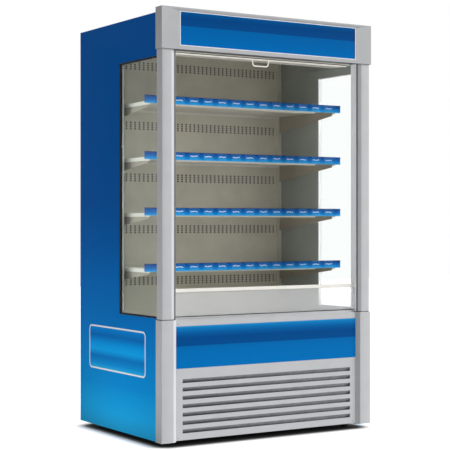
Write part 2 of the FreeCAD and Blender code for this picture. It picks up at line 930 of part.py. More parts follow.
def blade(root, tip, chord, pitch, camber):
    """A cambered, pitched blade that runs out along +Z."""
    cos = math.cos(pitch)
    sin = math.sin(pitch)
    front_side = [(-chord / 2, 0), (0, camber), (chord / 2, 0)]
    back_side = [(along, off - sheet) for along, off in front_side[::-1]]
    points = [vector(along * cos - off * sin, along * sin + off * cos, root)
              for along, off in front_side + back_side]
    return Part.Face(Part.makePolygon(points + points[:1])).extrude(vector(0, 0, tip - root))


def fan(x, y, z, radius, hub, deep, shaft_end):
    """Axial fan on an axis along Y, with pitched blades and a shaft towards the front."""
    first = blade(hub * blade_root, radius, deep * fan_chord, math.radians(fan_pitch), deep * fan_camber)
    turns = []
    for i in range(fan_blade_count):
        copy = first.copy()
        copy.rotate(vector(0, 0, 0), vector(0, 1, 0), 360 * i / fan_blade_count)
        turns.append(copy)
    rotor = join(rod_y(0, -deep / 2, deep / 2, 0, hub), *turns)
    rotor = join(rotor, rod_y(0, shaft_end, 0, 0, shaft_radius))
    rotor.translate(vector(x, y, z))
    return rotor


def fan_motor(x, y_end, z, radius, hole, seat):
    """Motor in front of a fan; the arms of its strap reach back to the plate round the fan."""
    body = prism_y(even_rim(x, z, radius, 2 * tube_sides), y_end - motor_length, y_end)
    bore = rod_y(x, y_end - shaft_length, y_end, z, shaft_radius + pin_clearance)
    reach = hole + 2 * motor_arm
    start = y_end - motor_length
    arm = box(x - reach, x + reach, start - motor_arm, start, z - 2 * motor_arm, z + 2 * motor_arm)
    legs = [box(x + side * reach - motor_arm / 2, x + side * reach + motor_arm / 2,
                start - motor_arm, seat, z - 2 * motor_arm, z + 2 * motor_arm)
            for side in (-1, 1)]
    return join(body, arm, *legs).cut(bore)


def fan_partition():
    """Upright sheet in the tub with a hole round each evaporator fan."""
    plate = box(-wall_inner, wall_inner, fan_plate, fan_plate + sheet, tub_floor, deck_under)
    holes = [rod_y(side * fan_offset, fan_plate, fan_plate + sheet, fan_axis_z,
                   fan_radius + fan_tip_gap) for side in (-1, 1)]
    return cut(plate, holes)


def motor_end():
    return fan_plate - fan_depth / 2 - motor_gap


def evaporator_fan(side):
    shaft_end = motor_end() - fan_plate - shaft_length + motor_gap
    return fan(side * fan_offset, fan_plate, fan_axis_z, fan_radius, fan_hub, fan_depth, shaft_end)


def condenser_shroud_back():
    return condenser_rear + condenser_fan_gap


def condenser_fan_y():
    return condenser_shroud_back() + motor_gap + condenser_fan_depth / 2


def condenser_fan():
    """Fan behind the condenser; its motor sits further back, so the fan is turned about Z."""
    shaft_end = -condenser_fan_depth / 2 - shaft_length
    rotor = fan(0, 0, 0, condenser_fan_radius, condenser_fan_hub, condenser_fan_depth, shaft_end)
    rotor.rotate(vector(0, 0, 0), vector(0, 0, 1), 180)
    rotor.translate(vector(condenser_axis_x, condenser_fan_y(), condenser_axis_z))
    return rotor


def condenser_motor():
    hole = condenser_fan_radius + fan_tip_gap
    start = condenser_fan_y() + condenser_fan_depth / 2 + motor_gap
    motor = fan_motor(0, 0, 0, motor_radius, hole, start - condenser_shroud_back())
    motor.rotate(vector(0, 0, 0), vector(0, 0, 1), 180)
    motor.translate(vector(condenser_axis_x, start, condenser_axis_z))
    return motor


# ---------------------------------------------------------------- refrigeration

def return_bend(x, y, z, pitch, outwards):
    """Flattened U bend that joins two of the coil's tubes at one end."""
    outline = []
    for half, reach in ((pitch / 2 + coil_tube, pitch / 2 + coil_tube),
                        (pitch / 2 - coil_tube, pitch / 2 - coil_tube)):
        bevel = half * bend_chamfer
        side = [(x, z - half), (x + outwards * (reach - bevel), z - half),
                (x + outwards * reach, z - half + bevel), (x + outwards * reach, z + half - bevel),
                (x + outwards * (reach - bevel), z + half), (x, z + half)]
        outline += side if not outline else side[::-1]
    return prism_y(outline, y - coil_tube, y + coil_tube)


def evaporator():
    """Finned block between two end plates, with the return bends of its tubes."""
    half = wall_inner - evaporator_side_gap
    start = front + evaporator_setback
    end = start + evaporator_depth
    top = deck_under
    fins = box(-half, half, start, end, tub_floor + coil_tube, top - coil_tube)
    plates = both_sides(box(half, half + evaporator_plate, start, end, tub_floor, top))
    rows = [start + evaporator_depth * (i + 0.5) / coil_row_count for i in range(coil_row_count)]
    bends = [return_bend(side * (half + evaporator_plate), y, (tub_floor + top) / 2, coil_pitch, side)
             for side in (-1, 1) for y in rows]
    return join(fins, *plates, *bends)


def unit_tray():
    """Slide-out tray that carries the condensing unit, with its edges turned up."""
    half = wall_inner - frame_rail - tray_side_gap
    start = column_rear + sheet
    end = rear - frame_rail
    profile = folded([(-half, frame_top + tray_lip), (-half, frame_top), (half, frame_top),
                      (half, frame_top + tray_lip)])
    return prism_y(profile, start, end)


def condenser():
    """Finned block in a shroud whose back plate has the fan's hole."""
    x0 = condenser_left
    x1 = condenser_left + condenser_width
    top = tray_top + condenser_height
    fins = box(x0 + sheet, x1 - sheet, condenser_front, condenser_rear, tray_top, top)
    back = condenser_shroud_back()
    hood = box(x0, x1, condenser_front, back, tray_top, top + sheet)
    inside = box(x0 + sheet, x1 - sheet, condenser_front, back - sheet, tray_top, top)
    hole = rod_y(condenser_axis_x, back - sheet, back, condenser_axis_z,
                 condenser_fan_radius + fan_tip_gap)
    return join(cut(hood, [inside, hole]), fins)


def compressor():
    """Hermetic compressor: domed shell on a base plate with four rubber feet."""
    y = front + compressor_setback
    low = tray_top + compressor_foot
    r = compressor_radius
    base = low + compressor_plate
    top = base + compressor_height
    outline = [(0, base), (r, base), (r, top - compressor_dome), (compressor_crown, top), (0, top)]
    points = [vector(x, 0, z) for x, z in outline]
    shell = Part.Face(Part.makePolygon(points + points[:1])).revolve(vector(0, 0, 0), vector(0, 0, 1), 360)
    shell.translate(vector(compressor_x, y, 0))
    plate = box(compressor_x - compressor_plate_half, compressor_x + compressor_plate_half,
                y - compressor_plate_deep, y + compressor_plate_deep, low, base)
    feet = [post(compressor_x + sx * compressor_foot_x, y + sy * compressor_foot_y, compressor_foot,
                 tray_top, low, tube_sides) for sx in (-1, 1) for sy in (-1, 1)]
    return join(shell, plate, *feet)


def refrigerant_pipes():
    """Discharge pipe to the condenser and suction pipe up to the tub's floor."""
    x = compressor_x
    y = front + compressor_setback
    side = x - compressor_radius
    level = tray_top + pipe_level
    inlet = condenser_left + condenser_width
    mid_y = condenser_front + condenser_depth / 2
    knee_x = (side + inlet) / 2
    discharge = bent_tube([(side, y, level), (knee_x, y, level), (knee_x, mid_y, level),
                           (inlet, mid_y, level)], pipe_bend, pipe_radius)
    far = x + compressor_radius
    suction = bent_tube([(far, y, level), (far + suction_reach, y, level),
                         (far + suction_reach, y, tub_bottom)], pipe_bend, pipe_radius)
    return discharge, suction


def evaporation_tray():
    """Open pan under the drain spout."""
    y = front + evaporation_setback
    x0 = drain_place()[0] - evaporation_width / 2
    top = tray_top + evaporation_height
    pan = box(x0, x0 + evaporation_width, y, y + evaporation_depth, tray_top, top)
    wall = evaporation_wall
    inside = box(x0 + wall, x0 + evaporation_width - wall, y + wall, y + evaporation_depth - wall,
                 tray_top + wall, top)
    return pan.cut(inside)


# ---------------------------------------------------------------- rear grille, electrical box

def rear_grille():
    """Louvred sheet behind the machine space, cut away round the electrical box."""
    plate = box(-wall_inner, wall_inner, rear - sheet, rear, frame_top, tub_bottom)
    half = wall_inner - rear_louvre_margin
    right = box_outer - box_width - rear_louvre_margin
    slots = []
    for i in range(rear_louvre_count):
        low = frame_top + rear_louvre_first + i * rear_louvre_pitch
        slots.append(box(-half, right, rear - sheet, rear, low, low + rear_louvre_height))
    mouth = box(box_outer - box_width, box_outer, rear - sheet, rear, box_low, box_low + box_height)
    return cut(plate, slots + [mouth])


def control_box():
    """Electrical box in the grille, its face set back so that nothing stands proud."""
    x0 = box_outer - box_width
    body = box(x0, box_outer, box_face - box_depth, rear, box_low, box_low + box_height)
    recess = box(x0 + box_wall, box_outer - box_wall, box_face, rear, box_low + box_wall,
                 box_low + box_height - box_wall)
    pockets = [rocker_pocket(z) for z in rocker_heights()]
    stem = rod_y(knob_x(), box_face - knob_height, box_face, knob_z(), knob_stem + pin_clearance)
    cable_hole = rod_y(knob_x(), box_face - gland_length, box_face, gland_z(), gland_bore)
    return cut(body, [recess, stem, cable_hole] + pockets)


def rocker_heights():
    middle = box_low + box_height / 2
    return [middle - rocker_pitch, middle + rocker_pitch]


def knob_x():
    return box_outer - knob_inset


def knob_z():
    return rocker_heights()[1]


def gland_z():
    return rocker_heights()[0]


def rocker_pocket(z):
    side = rocker_width / 2 + rocker_travel_gap
    rise = rocker_height / 2 + rocker_travel_gap * 3
    return box(switch_x - side, switch_x + side, box_face - rocker_height / 2, box_face, z - rise, z + rise)


def rocker(z):
    """Rocker of a switch, tilted one way about its pivot at rest."""
    y = box_face - rocker_pivot
    half = rocker_height / 2
    top = rocker_pivot + rocker_proud
    outline = [(y - rocker_proud, z - half * rocker_root), (y + top, z - half), (y + top * rocker_dip, z),
               (y + top, z + half), (y - rocker_proud, z + half * rocker_root)]
    paddle = prism_x(outline, switch_x - rocker_width / 2, switch_x + rocker_width / 2)
    paddle.rotate(vector(switch_x, y, z), vector(1, 0, 0), rocker_tilt)
    return paddle


def thermostat_knob():
    """Twelve-sided knob with a grip ridge, on its spindle."""
    low = box_face + slide_gap
    rim = even_rim(knob_x(), knob_z(), knob_radius, 2 * tube_sides)
    disc = prism_y(rim, low, box_face + knob_height / 2)
    ridge = box(knob_x() - knob_ridge / 2, knob_x() + knob_ridge / 2, low, box_face + knob_height,
                knob_z() - knob_ridge_length / 2, knob_z() + knob_ridge_length / 2)
    stem = rod_y(knob_x(), box_face - knob_height + slide_gap, low, knob_z(), knob_stem)
    return join(disc, ridge, stem)


def cable_gland():
    """Screwed gland with a six-sided head, where the supply cable enters."""
    x = knob_x()
    z = gland_z()
    flange = prism_y(even_rim(x, z, gland_radius, tube_sides), box_face, box_face + gland_flange)
    bore = rod_y(x, box_face, box_face + gland_flange, z, gland_bore)
    return flange.cut(bore)


def main():
    os.makedirs("parts", exist_ok=True)
    save("base_frame", base_frame())
    save("levelling_feet", *[levelling_foot(x, y) for x, y in foot_places()])
    wall = side_wall()
    save("side_wall_left", mirrored(wall))
    save("side_wall_right", wall)
    panes = window_panes()
    save("side_glass_left", *[mirrored(p) for p in panes])
    save("side_glass_right", *panes)
    save("window_gaskets", *both_sides(window_gasket()))
    save("roof_panel", box(-wall_inner, wall_inner, column_rear, rear, roof_bottom, wall_top))
    save("back_panel", box(-wall_inner, wall_inner, back_inner, rear, tub_bottom, roof_bottom))

    upper = column(wall_outer, upper_face, upper_bevel_across, upper_bevel_deep, upper_setback,
                   seam_high, header_bottom)
    lower = column(lower_outer, lower_face, lower_bevel_across, lower_bevel_deep, lower_setback,
                   foot_gap, seam_low)
    save("upper_column_left", mirrored(upper))
    save("upper_column_right", upper)
    save("lower_column_left", mirrored(lower))
    save("lower_column_right", lower)
    save("jamb_trims", *both_sides(jamb()))

    save("header_frame", header_frame())
    save("header_sign", header_sign())
    save("canopy_soffit", canopy_soffit())
    save("air_discharge_honeycomb", air_discharge())
    save("ceiling_panel", ceiling_panel())
    save("rear_air_panel", rear_air_panel())

    save("kick_plate", kick_plate())
    save("kick_graphic_panel", kick_graphic())
    save("front_ledge", front_ledge())
    save("riser_glass", riser_glass())
    save("riser_top_rail", riser_top_rail())
    save("tub", tub())
    save("return_air_grille", return_air_grille())
    save("deck_pan", deck_pan())

    save("shelf_uprights", *both_sides(upright()))
    for number, top in enumerate(shelf_tops[::-1], 1):
        save("shelf_" + str(number), shelf(top))
        save("price_strip_" + str(number), price_strip(top))
    save("shelf_brackets", *[b for top in shelf_tops for b in both_sides(shelf_bracket(top))])
    save("lamps", *lamps(), header_lamp())

    save("blind_bar", blind_bar())
    save("blind_handle", blind_handle())
    save("blind_roller", blind_roller())
    save("blind_cloth", blind_cloth_run())
    save("blind_brackets", *both_sides(blind_end_bracket()))

    hole = fan_radius + fan_tip_gap
    save("fan_partition", fan_partition())
    save("fan_motors", *[fan_motor(side * fan_offset, motor_end(), fan_axis_z, motor_radius, hole, fan_plate)
                         for side in (-1, 1)], condenser_motor())
    save("evaporator_fan_left", evaporator_fan(-1))
    save("evaporator_fan_right", evaporator_fan(1))
    save("condenser_fan", condenser_fan())
    save("evaporator", evaporator())
    save("unit_tray", unit_tray())
    save("condenser", condenser())
    save("compressor", compressor())
    save("refrigerant_pipes", *refrigerant_pipes())
    save("evaporation_tray", evaporation_tray())

    save("rear_grille", rear_grille())
    save("control_box", control_box(), cable_gland())
    save("mains_rocker", rocker(rocker_heights()[0]))
    save("lamp_rocker", rocker(rocker_heights()[1]))
    save("thermostat_knob", thermostat_knob())


main()
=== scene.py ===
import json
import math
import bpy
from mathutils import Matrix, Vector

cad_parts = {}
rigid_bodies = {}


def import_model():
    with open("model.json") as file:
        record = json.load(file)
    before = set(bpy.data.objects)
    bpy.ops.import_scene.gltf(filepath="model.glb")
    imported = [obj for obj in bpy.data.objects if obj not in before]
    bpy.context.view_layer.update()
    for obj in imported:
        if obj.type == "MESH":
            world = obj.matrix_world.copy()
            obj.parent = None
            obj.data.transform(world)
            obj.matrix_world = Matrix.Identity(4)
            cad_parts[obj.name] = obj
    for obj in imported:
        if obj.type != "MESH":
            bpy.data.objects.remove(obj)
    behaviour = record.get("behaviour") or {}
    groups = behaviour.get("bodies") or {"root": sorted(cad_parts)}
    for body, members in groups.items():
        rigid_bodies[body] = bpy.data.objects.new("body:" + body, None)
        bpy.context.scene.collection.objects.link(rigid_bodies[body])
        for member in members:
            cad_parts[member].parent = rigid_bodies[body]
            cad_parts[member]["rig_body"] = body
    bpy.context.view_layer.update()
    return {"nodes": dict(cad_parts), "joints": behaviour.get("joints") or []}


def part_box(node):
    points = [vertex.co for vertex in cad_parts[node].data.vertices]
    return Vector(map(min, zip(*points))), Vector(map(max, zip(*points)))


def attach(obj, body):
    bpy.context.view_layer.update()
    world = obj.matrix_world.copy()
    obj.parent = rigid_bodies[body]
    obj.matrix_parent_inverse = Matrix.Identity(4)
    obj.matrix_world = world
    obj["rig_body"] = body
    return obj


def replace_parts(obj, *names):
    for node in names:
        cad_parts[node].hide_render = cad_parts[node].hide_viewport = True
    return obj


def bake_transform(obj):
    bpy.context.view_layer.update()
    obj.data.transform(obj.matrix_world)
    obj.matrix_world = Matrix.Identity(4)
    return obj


bl_info = {
    "name": "Open multideck display fridge",
    "version": (1, 0, 0),
    "blender": (4, 5, 0),
    "location": "3D View > Sidebar > Display fridge",
    "description": "Dresses an open display fridge in its sheet metal, printed film, glass and fittings",
    "category": "Object",
}

import bmesh
import bpy
from bpy.props import FloatProperty, IntProperty, PointerProperty, StringProperty
from mathutils import Vector

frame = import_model()

MM = 0.001
# Points closer than this are one.
JOIN = 1e-6
# A face looks along an axis when its normal reaches this share of it.
FACING = 0.9
# Folds and curves up to this many degrees from face to face are shown smooth.
SMOOTH = 35
SIDES = (("left", -1), ("right", 1))
SHELVES = (1, 2, 3, 4)


# ---------------------------------------------------------------- sizes and colours

def length(name, description, default):
    return FloatProperty(name=name, description=description, default=default, min=0.0, unit="LENGTH")


def angle(name, description, default):
    return FloatProperty(name=name, description=description, default=math.radians(default),
                         subtype="ANGLE")


def strength(name, description, default):
    return FloatProperty(name=name, description=description, default=default, min=0.0)


def tint(name, description, default):
    return StringProperty(name=name, description=description + ", as an sRGB hex value", default=default)


class SheetMetalSettings(bpy.types.PropertyGroup):
    """Folded and coated sheet of the front, columns and header"""
    body_grey: tint("Body grey", "Powder coat of the columns and kick plate", "#C8C9CB")
    header_grey: tint("Header grey", "Powder coat of the header", "#BCBDBF")
    fold_radius: length("Fold radius", "Outer radius of the folds in the columns", 1.6 * MM)
    header_radius: length("Header edge", "Radius of the header's outer edges", 1.5 * MM)
    sheet: length("Sheet", "Thickness of the folded sheet", 1.5 * MM)
    screw_radius: length("Screw head", "Radius of the fixing screws' heads", 4.5 * MM)
    seal_border: length("Seal border", "Black part of the windows' edge, in from the outer face", 8 * MM)


class PrintSettings(bpy.types.PropertyGroup):
    """Printed film on the sides, and the prints of the sign and the kick plate"""
    deep_blue: tint("Deep blue", "Film at the top of the side walls", "#025EB1")
    middle_blue: tint("Middle blue", "Film at the middle of the side walls", "#007DD2")
    bright_blue: tint("Bright blue", "Film at the foot of the side walls", "#2EC6FF")
    sign_dark: tint("Sign dark", "Upper band of the header sign", "#024687")
    sign_blue: tint("Sign blue", "Lower band of the header sign", "#0068B2")
    panel_line: tint("Panel line", "Line round the panel on the side walls", "#FFFFFF")
    panel_radius: length("Panel corner", "Corner radius of the panel on the side walls", 25 * MM)
    panel_line_width: length("Panel line width", "Width of the line round that panel", 7 * MM)


class InteriorSettings(bpy.types.PropertyGroup):
    """Liner, shelves and tickets inside the fridge"""
    liner_grey: tint("Liner grey", "Coated steel of the interior", "#E2DED0")
    perforation_pitch: length("Perforation pitch", "Spacing of the air holes' columns", 24.04 * MM)
    perforation_width: length("Perforation width", "Width of one air hole", 10 * MM)
    perforation_height: length("Perforation height", "Height of one air hole", 6 * MM)
    perforation_step: length("Perforation step", "Spacing of the air holes in a column", 10.8 * MM)
    perforation_rows: IntProperty(name="Perforation rows", description="Air holes in one column",
                                  default=4, min=1)
    ticket_width: length("Ticket width", "Width of one price ticket", 50 * MM)
    ticket_pitch: length("Ticket pitch", "Spacing of the price tickets", 77 * MM)
    ticket_shift: length("Ticket shift", "Place of the middle ticket to the right of the middle", 16 * MM)
    shelf_stop: length("Shelf stop", "Height of the shelves' front edge over their surface", 22 * MM)


class BlindSettings(bpy.types.PropertyGroup):
    """Night blind over the open front"""
    wire_radius: length("Handle wire", "Radius of the wire of the blind's handle", 3 * MM)
    wire_bend: length("Handle bend", "Bend radius at the handle's corners", 11 * MM)
    core_radius: length("Core", "Radius of the roller under the wound cloth", 19.6 * MM)
    wound_length: length("Wound cloth", "Length of cloth wound on the roller", 1.25)


class MachineSettings(bpy.types.PropertyGroup):
    """Refrigeration and electrical pieces"""
    coil_fin_pitch: length("Evaporator fins", "Spacing of the evaporator's fins", 8 * MM)
    condenser_fin_pitch: length("Condenser fins", "Spacing of the condenser's fins", 4 * MM)
    pipe_radius: length("Pipe radius", "Radius of the copper pipes", 4 * MM)
    blade_count: IntProperty(name="Fan blades", description="Blades on each fan", default=4, min=2)


class StageSettings(bpy.types.PropertyGroup):
    """Camera, floor and lamps"""
    lens: FloatProperty(name="Lens", description="Focal length on a 36 mm sensor", default=108.7)
    shift_across: FloatProperty(name="Shift across", description="Lens shift to the right", default=-0.1902)
    shift_up: FloatProperty(name="Shift up", description="Lens shift upwards", default=-0.0054)
    camera_left: FloatProperty(name="Camera X", description="Place of the camera across the fridge",
                               default=-3.403, unit="LENGTH")
    camera_front: FloatProperty(name="Camera Y", description="Place of the camera before the fridge",
                                default=-5.8415, unit="LENGTH")
    camera_height: length("Camera height", "Height of the camera over the floor", 1.0107)
    camera_turn: angle("Camera turn", "Direction that the camera looks in, to the right", 33.862)
    key_turn: angle("Key turn", "Direction of the key light, to the right of the open front", 64)
    key_rise: angle("Key rise", "Height of the key light over the horizon", 16)
    key_strength: strength("Key strength", "Strength of the key light", 3.3)
    key_spread: angle("Key spread", "How broad the key light looks; a wide one has soft shadows", 25)
    front_turn: angle("Front turn", "Direction of the front lamp, to the right of the open front", -8)
    front_rise: angle("Front rise", "Height of the front lamp over the horizon", 10)
    front_strength: strength("Front strength", "Strength of the front lamp", 0.20)
    front_spread: angle("Front spread", "How broad the front lamp looks", 60)
    ambient: strength("Ambient", "Strength of the even light from all round", 0.30)
    floor_reach: length("Floor reach", "Half the width of the studio floor", 14.0)


SETTINGS = {"fridge_sheet": SheetMetalSettings, "fridge_print": PrintSettings,
            "fridge_interior": InteriorSettings, "fridge_blind": BlindSettings,
            "fridge_machine": MachineSettings, "fridge_stage": StageSettings}


def settings(group):
    """The scene's values of that group of settings."""
    return getattr(bpy.context.scene, group)


# ---------------------------------------------------------------- shader helpers

def srgb(code):
    """An sRGB hex colour as the linear colour that a socket takes."""
    parts = [int(code[i:i + 2], 16) / 255 for i in (1, 3, 5)]
    return (*[c / 12.92 if c <= 0.04045 else ((c + 0.055) / 1.055) ** 2.4 for c in parts], 1.0)


def add_node(tree, kind, inputs=None, stops=(), feeds=None, **options):
    """Adds one node.

    inputs gives each socket a value or another node's output, stops the (place, colour) pairs of a
    colour ramp, feeds the socket that takes the node's first output, and options its other settings.
    """
    node = tree.nodes.new("ShaderNode" + kind)
    for name, value in options.items():
        setattr(node, name, value)
    for key, value in (inputs or {}).items():
        if isinstance(value, bpy.types.NodeSocket):
            tree.links.new(value, node.inputs[key])
        else:
            node.inputs[key].default_value = value
    # A new ramp has two stops.
    for _ in stops[2:]:
        node.color_ramp.elements.new(0.5)
    for i, (place, colour) in enumerate(stops):
        node.color_ramp.elements[i].position = place
        node.color_ramp.elements[i].color = srgb(colour)
    if feeds:
        tree.links.new(node.outputs[0], feeds)
    return node


def new_material(name, colour, **sockets):
    """A material with its shader's own sockets set; gives the material, its tree and its shader."""
    material = bpy.data.materials.new(name)
    material.use_nodes = True
    tree = material.node_tree
    shader = tree.nodes["Principled BSDF"]
    shader.inputs["Base Color"].default_value = srgb(colour)
    for socket, value in sockets.items():
        shader.inputs[socket.replace("_", " ")].default_value = value
    material.diffuse_color = srgb(colour)
    return material, tree, shader


def per_mm(size):
    """Texture scale at which one cell of a pattern measures that many millimetres."""
    return 1 / (size * MM)


def shade_of(code, factor):
    """The hex colour made darker or lighter by a factor."""
    parts = [min(255, round(int(code[i:i + 2], 16) * factor)) for i in (1, 3, 5)]
    return "#" + "".join(f"{p:02X}" for p in parts)


def mottled(tree, shader, coords, colour, cell, spread):
    """Slow colour drift over the surface, between two near shades of one colour."""
    drift = add_node(tree, "TexNoise", {"Vector": coords, "Scale": per_mm(cell), "Detail": 3.0})
    tone = add_node(tree, "ValToRGB", {"Fac": drift.outputs["Fac"]},
                    [(0.35, shade_of(colour, 1 - spread)), (0.65, shade_of(colour, 1 + spread))],
                    shader.inputs["Base Color"])
    return tone.outputs["Color"]


def grainy(tree, shader, coords, cell, depth):
    """Fine relief of a coated or moulded surface; cell and depth in millimetres."""
    grain = add_node(tree, "TexNoise", {"Vector": coords, "Scale": per_mm(cell), "Detail": 2.0})
    add_node(tree, "Bump", {"Height": grain.outputs["Fac"], "Distance": depth * MM},
             feeds=shader.inputs["Normal"])


def drawn_lines(tree, shader, coords, stretch, cell, detail):
    """Fine lines left by drawing or rolling, long in the direction whose stretch is small."""
    drawn = add_node(tree, "Mapping", {"Vector": coords, "Scale": stretch})
    lines = add_node(tree, "TexNoise", {"Vector": drawn.outputs[0], "Scale": per_mm(cell),
                                        "Detail": detail})
    add_node(tree, "Bump", {"Height": lines.outputs["Fac"], "Distance": 0.02 * MM},
             feeds=shader.inputs["Normal"])


def spread_roughness(tree, shader, coords, cell, low, high):
    """Roughness that wanders between two values, as handling and cleaning leave it."""
    cloud = add_node(tree, "TexNoise", {"Vector": coords, "Scale": per_mm(cell), "Detail": 4.0})
    add_node(tree, "MapRange", {"Value": cloud.outputs["Fac"], "From Min": 0.3, "From Max": 0.7,
                                "To Min": low, "To Max": high}, feeds=shader.inputs["Roughness"])


def surface(name, colour, drift=None, rough=None, grain=None, glow=0.0, **sockets):
    """A coated, moulded or printed surface of one colour.

    drift holds the cell and spread of its colour, rough the cell and both ends of its roughness, and
    grain the cell and depth of its relief, with cells and depth in mm; glow lights it in its drifting
    colour.
    """
    material, tree, shader = new_material(name, colour, **sockets)
    coords = add_node(tree, "TexCoord").outputs["Object"]
    if drift:
        tone = mottled(tree, shader, coords, colour, *drift)
    if rough:
        spread_roughness(tree, shader, coords, *rough)
    if grain:
        grainy(tree, shader, coords, *grain)
    if glow:
        tree.links.new(tone, shader.inputs["Emission Color"])
        shader.inputs["Emission Strength"].default_value = glow
    return material


def height_share(tree, coords, low, high):
    """0 at one height and 1 at another."""
    axes = add_node(tree, "SeparateXYZ", {"Vector": coords})
    return add_node(tree, "MapRange", {"Value": axes.outputs["Z"], "From Min": low,
                                       "From Max": high}).outputs["Result"]


def reach_outside(tree, place, half):
    """Distance from a box of those half sizes round the middle; 0 inside it."""
    folded = add_node(tree, "VectorMath", {0: place}, operation="ABSOLUTE")
    past = add_node(tree, "VectorMath", {0: folded.outputs[0], 1: half}, operation="SUBTRACT")
    outside = add_node(tree, "VectorMath", {0: past.outputs[0], 1: (0, 0, 0)}, operation="MAXIMUM")
    return add_node(tree, "VectorMath", {0: outside.outputs[0]}, operation="LENGTH").outputs["Value"]


# ---------------------------------------------------------------- materials

def powder_coat(name, colour):
    """Polyester powder on steel, baked: an even satin face with a faint orange peel."""
    # The cells of orange peel are about 1 mm wide; drawn at 2.2 mm so that they show.
    return surface(name, colour, (90, 0.012), (140, 0.42, 0.52), (2.2, 0.03),
                   IOR=1.5, Specular_IOR_Level=0.05)


def body_coat():
    # The columns' and the kick plate's coat: light satin grey.
    return powder_coat("powder_coated_steel", settings("fridge_sheet").body_grey)


def header_coat():
    # The header's coat, from another batch: a shade darker than the columns'.
    return powder_coat("powder_coated_header_steel", settings("fridge_sheet").header_grey)


def louvre_coat_painted_shade():
    # The same powder coat on the louvre blades, in a darker grey of painted shade for the depth of the
    # slots.
    return surface("powder_coated_steel_painted_slot_shade", "#8A8B8D", (30, 0.05), (60, 0.6, 0.8), (1.5, 0.05),
                   IOR=1.5)


def side_film():
    # Cast vinyl film, solvent printed and laminated: blue that lightens towards the floor.
    tones = settings("fridge_print")
    material, tree, shader = new_material("printed_vinyl_film", tones.middle_blue, IOR=1.46,
                                          Roughness=0.4, Specular_IOR_Level=0.01)
    coords = add_node(tree, "TexCoord").outputs["Object"]
    low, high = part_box("side_wall_left")
    film = add_node(tree, "ValToRGB", {"Fac": height_share(tree, coords, low.z, high.z)},
                    [(0.0, tones.bright_blue), (0.04, "#1BBDFF"), (0.11, "#009AE8"),
                     (0.275, tones.middle_blue), (0.35, "#0076CD"), (0.45, "#0068BD"),
                     (0.56, tones.deep_blue)])
    # The rounded panel low on the wall: distance from its outline in the plane of the wall.
    middle, half_deep, half_high = (0.0, 31 * MM, 405 * MM), 302.5 * MM, 106 * MM
    radius, line = tones.panel_radius, tones.panel_line_width
    axes = add_node(tree, "SeparateXYZ", {"Vector": coords})
    flat = add_node(tree, "CombineXYZ", {"Y": axes.outputs["Y"], "Z": axes.outputs["Z"]})
    away = add_node(tree, "VectorMath", {0: flat.outputs[0], 1: middle}, operation="SUBTRACT")
    reach = reach_outside(tree, away.outputs[0], (0.0, half_deep - radius, half_high - radius))
    blur = 0.6 * MM
    inside = add_node(tree, "MapRange", {"Value": reach, "From Min": radius - line,
                                         "From Max": radius - line - blur})
    edge = add_node(tree, "MapRange", {"Value": reach, "From Min": radius + blur, "From Max": radius})
    panel_share = height_share(tree, coords, middle[2] - half_high, middle[2] + half_high)
    panel = add_node(tree, "ValToRGB", {"Fac": panel_share},
                     [(0.0, "#30C8FF"), (0.14, "#0A9CE8"), (0.30, "#007ED2"), (0.46, "#10B4FF"),
                      (0.62, "#00A0F4"), (0.78, "#0072C8"), (0.90, "#0088DE"), (1.0, "#0A9CF0")])
    # A mix node of colours takes them at its sockets 6 and 7 and gives its result at 2.
    outlined = add_node(tree, "Mix", {0: inside.outputs["Result"], 6: srgb(tones.panel_line),
                                      7: panel.outputs["Color"]}, data_type="RGBA")
    whole = add_node(tree, "Mix", {0: edge.outputs["Result"], 6: film.outputs["Color"],
                                   7: outlined.outputs[2]}, data_type="RGBA")
    tree.links.new(whole.outputs[2], shader.inputs["Base Color"])
    # Film over sheet is slightly wavy.
    grainy(tree, shader, coords, 12, 0.02)
    return material


def banded_print(name, node_name, stops, roughness, waviness):
    """Print in bands across the height of one piece."""
    material, tree, shader = new_material(name, "#0068B2", IOR=1.49, Roughness=roughness,
                                          Specular_IOR_Level=0.04)
    coords = add_node(tree, "TexCoord").outputs["Object"]
    low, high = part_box(node_name)
    add_node(tree, "ValToRGB", {"Fac": height_share(tree, coords, low.z, high.z)}, stops,
             shader.inputs["Base Color"])
    grainy(tree, shader, coords, waviness, 0.02)
    return material


def sign_acrylic():
    # Cast acrylic sheet, printed on its back and lit from behind: deep glossy blue.
    tones = settings("fridge_print")
    return banded_print("back_printed_acrylic", "header_sign",
                        [(0.0, "#0070BC"), (0.30, tones.sign_blue), (0.555, "#0064AC"),
                         (0.575, "#034B8E"), (0.80, tones.sign_dark), (0.90, "#02508F"),
                         (0.965, "#0068B4"), (1.0, "#0A78C4")], 0.25, 60)


def graphic_film():
    # Laminated print on a thin plate: brighter at its top edge, then a dark and a plain band.
    return banded_print("laminated_print", "kick_graphic_panel",
                        [(0.0, "#0074BE"), (0.40, "#006FB8"), (0.515, "#006AB2"), (0.535, "#004E92"),
                         (0.72, "#004B8E"), (0.84, "#045EA4"), (0.95, "#0E7CC0"), (1.0, "#2796D4")],
                        0.35, 40)


def enamelled_liner():
    # Coil-coated steel of the interior: warm grey, semi-gloss, wiped down often.
    return surface("coil_coated_liner", settings("fridge_interior").liner_grey, (120, 0.02),
                   (90, 0.34, 0.5), (3, 0.02), IOR=1.5)


def shaded_wall_liner():
    # The liner of the side walls, stucco-embossed: a greener grey than the back, and darker than it by
    # painted shade.
    return surface("stucco_embossed_liner_painted_shade", "#A5ABA6", (120, 0.02), (90, 0.4, 0.55), (5, 0.12), IOR=1.5)


def profile_coat():
    # Beige-grey coat of the lamp profiles and the shelves' brackets: matt, hides dust.
    return surface("matt_coated_profile", "#B3AC9E", (60, 0.02), (60, 0.5, 0.62), (2, 0.03),
                   IOR=1.5, Specular_IOR_Level=0.2)


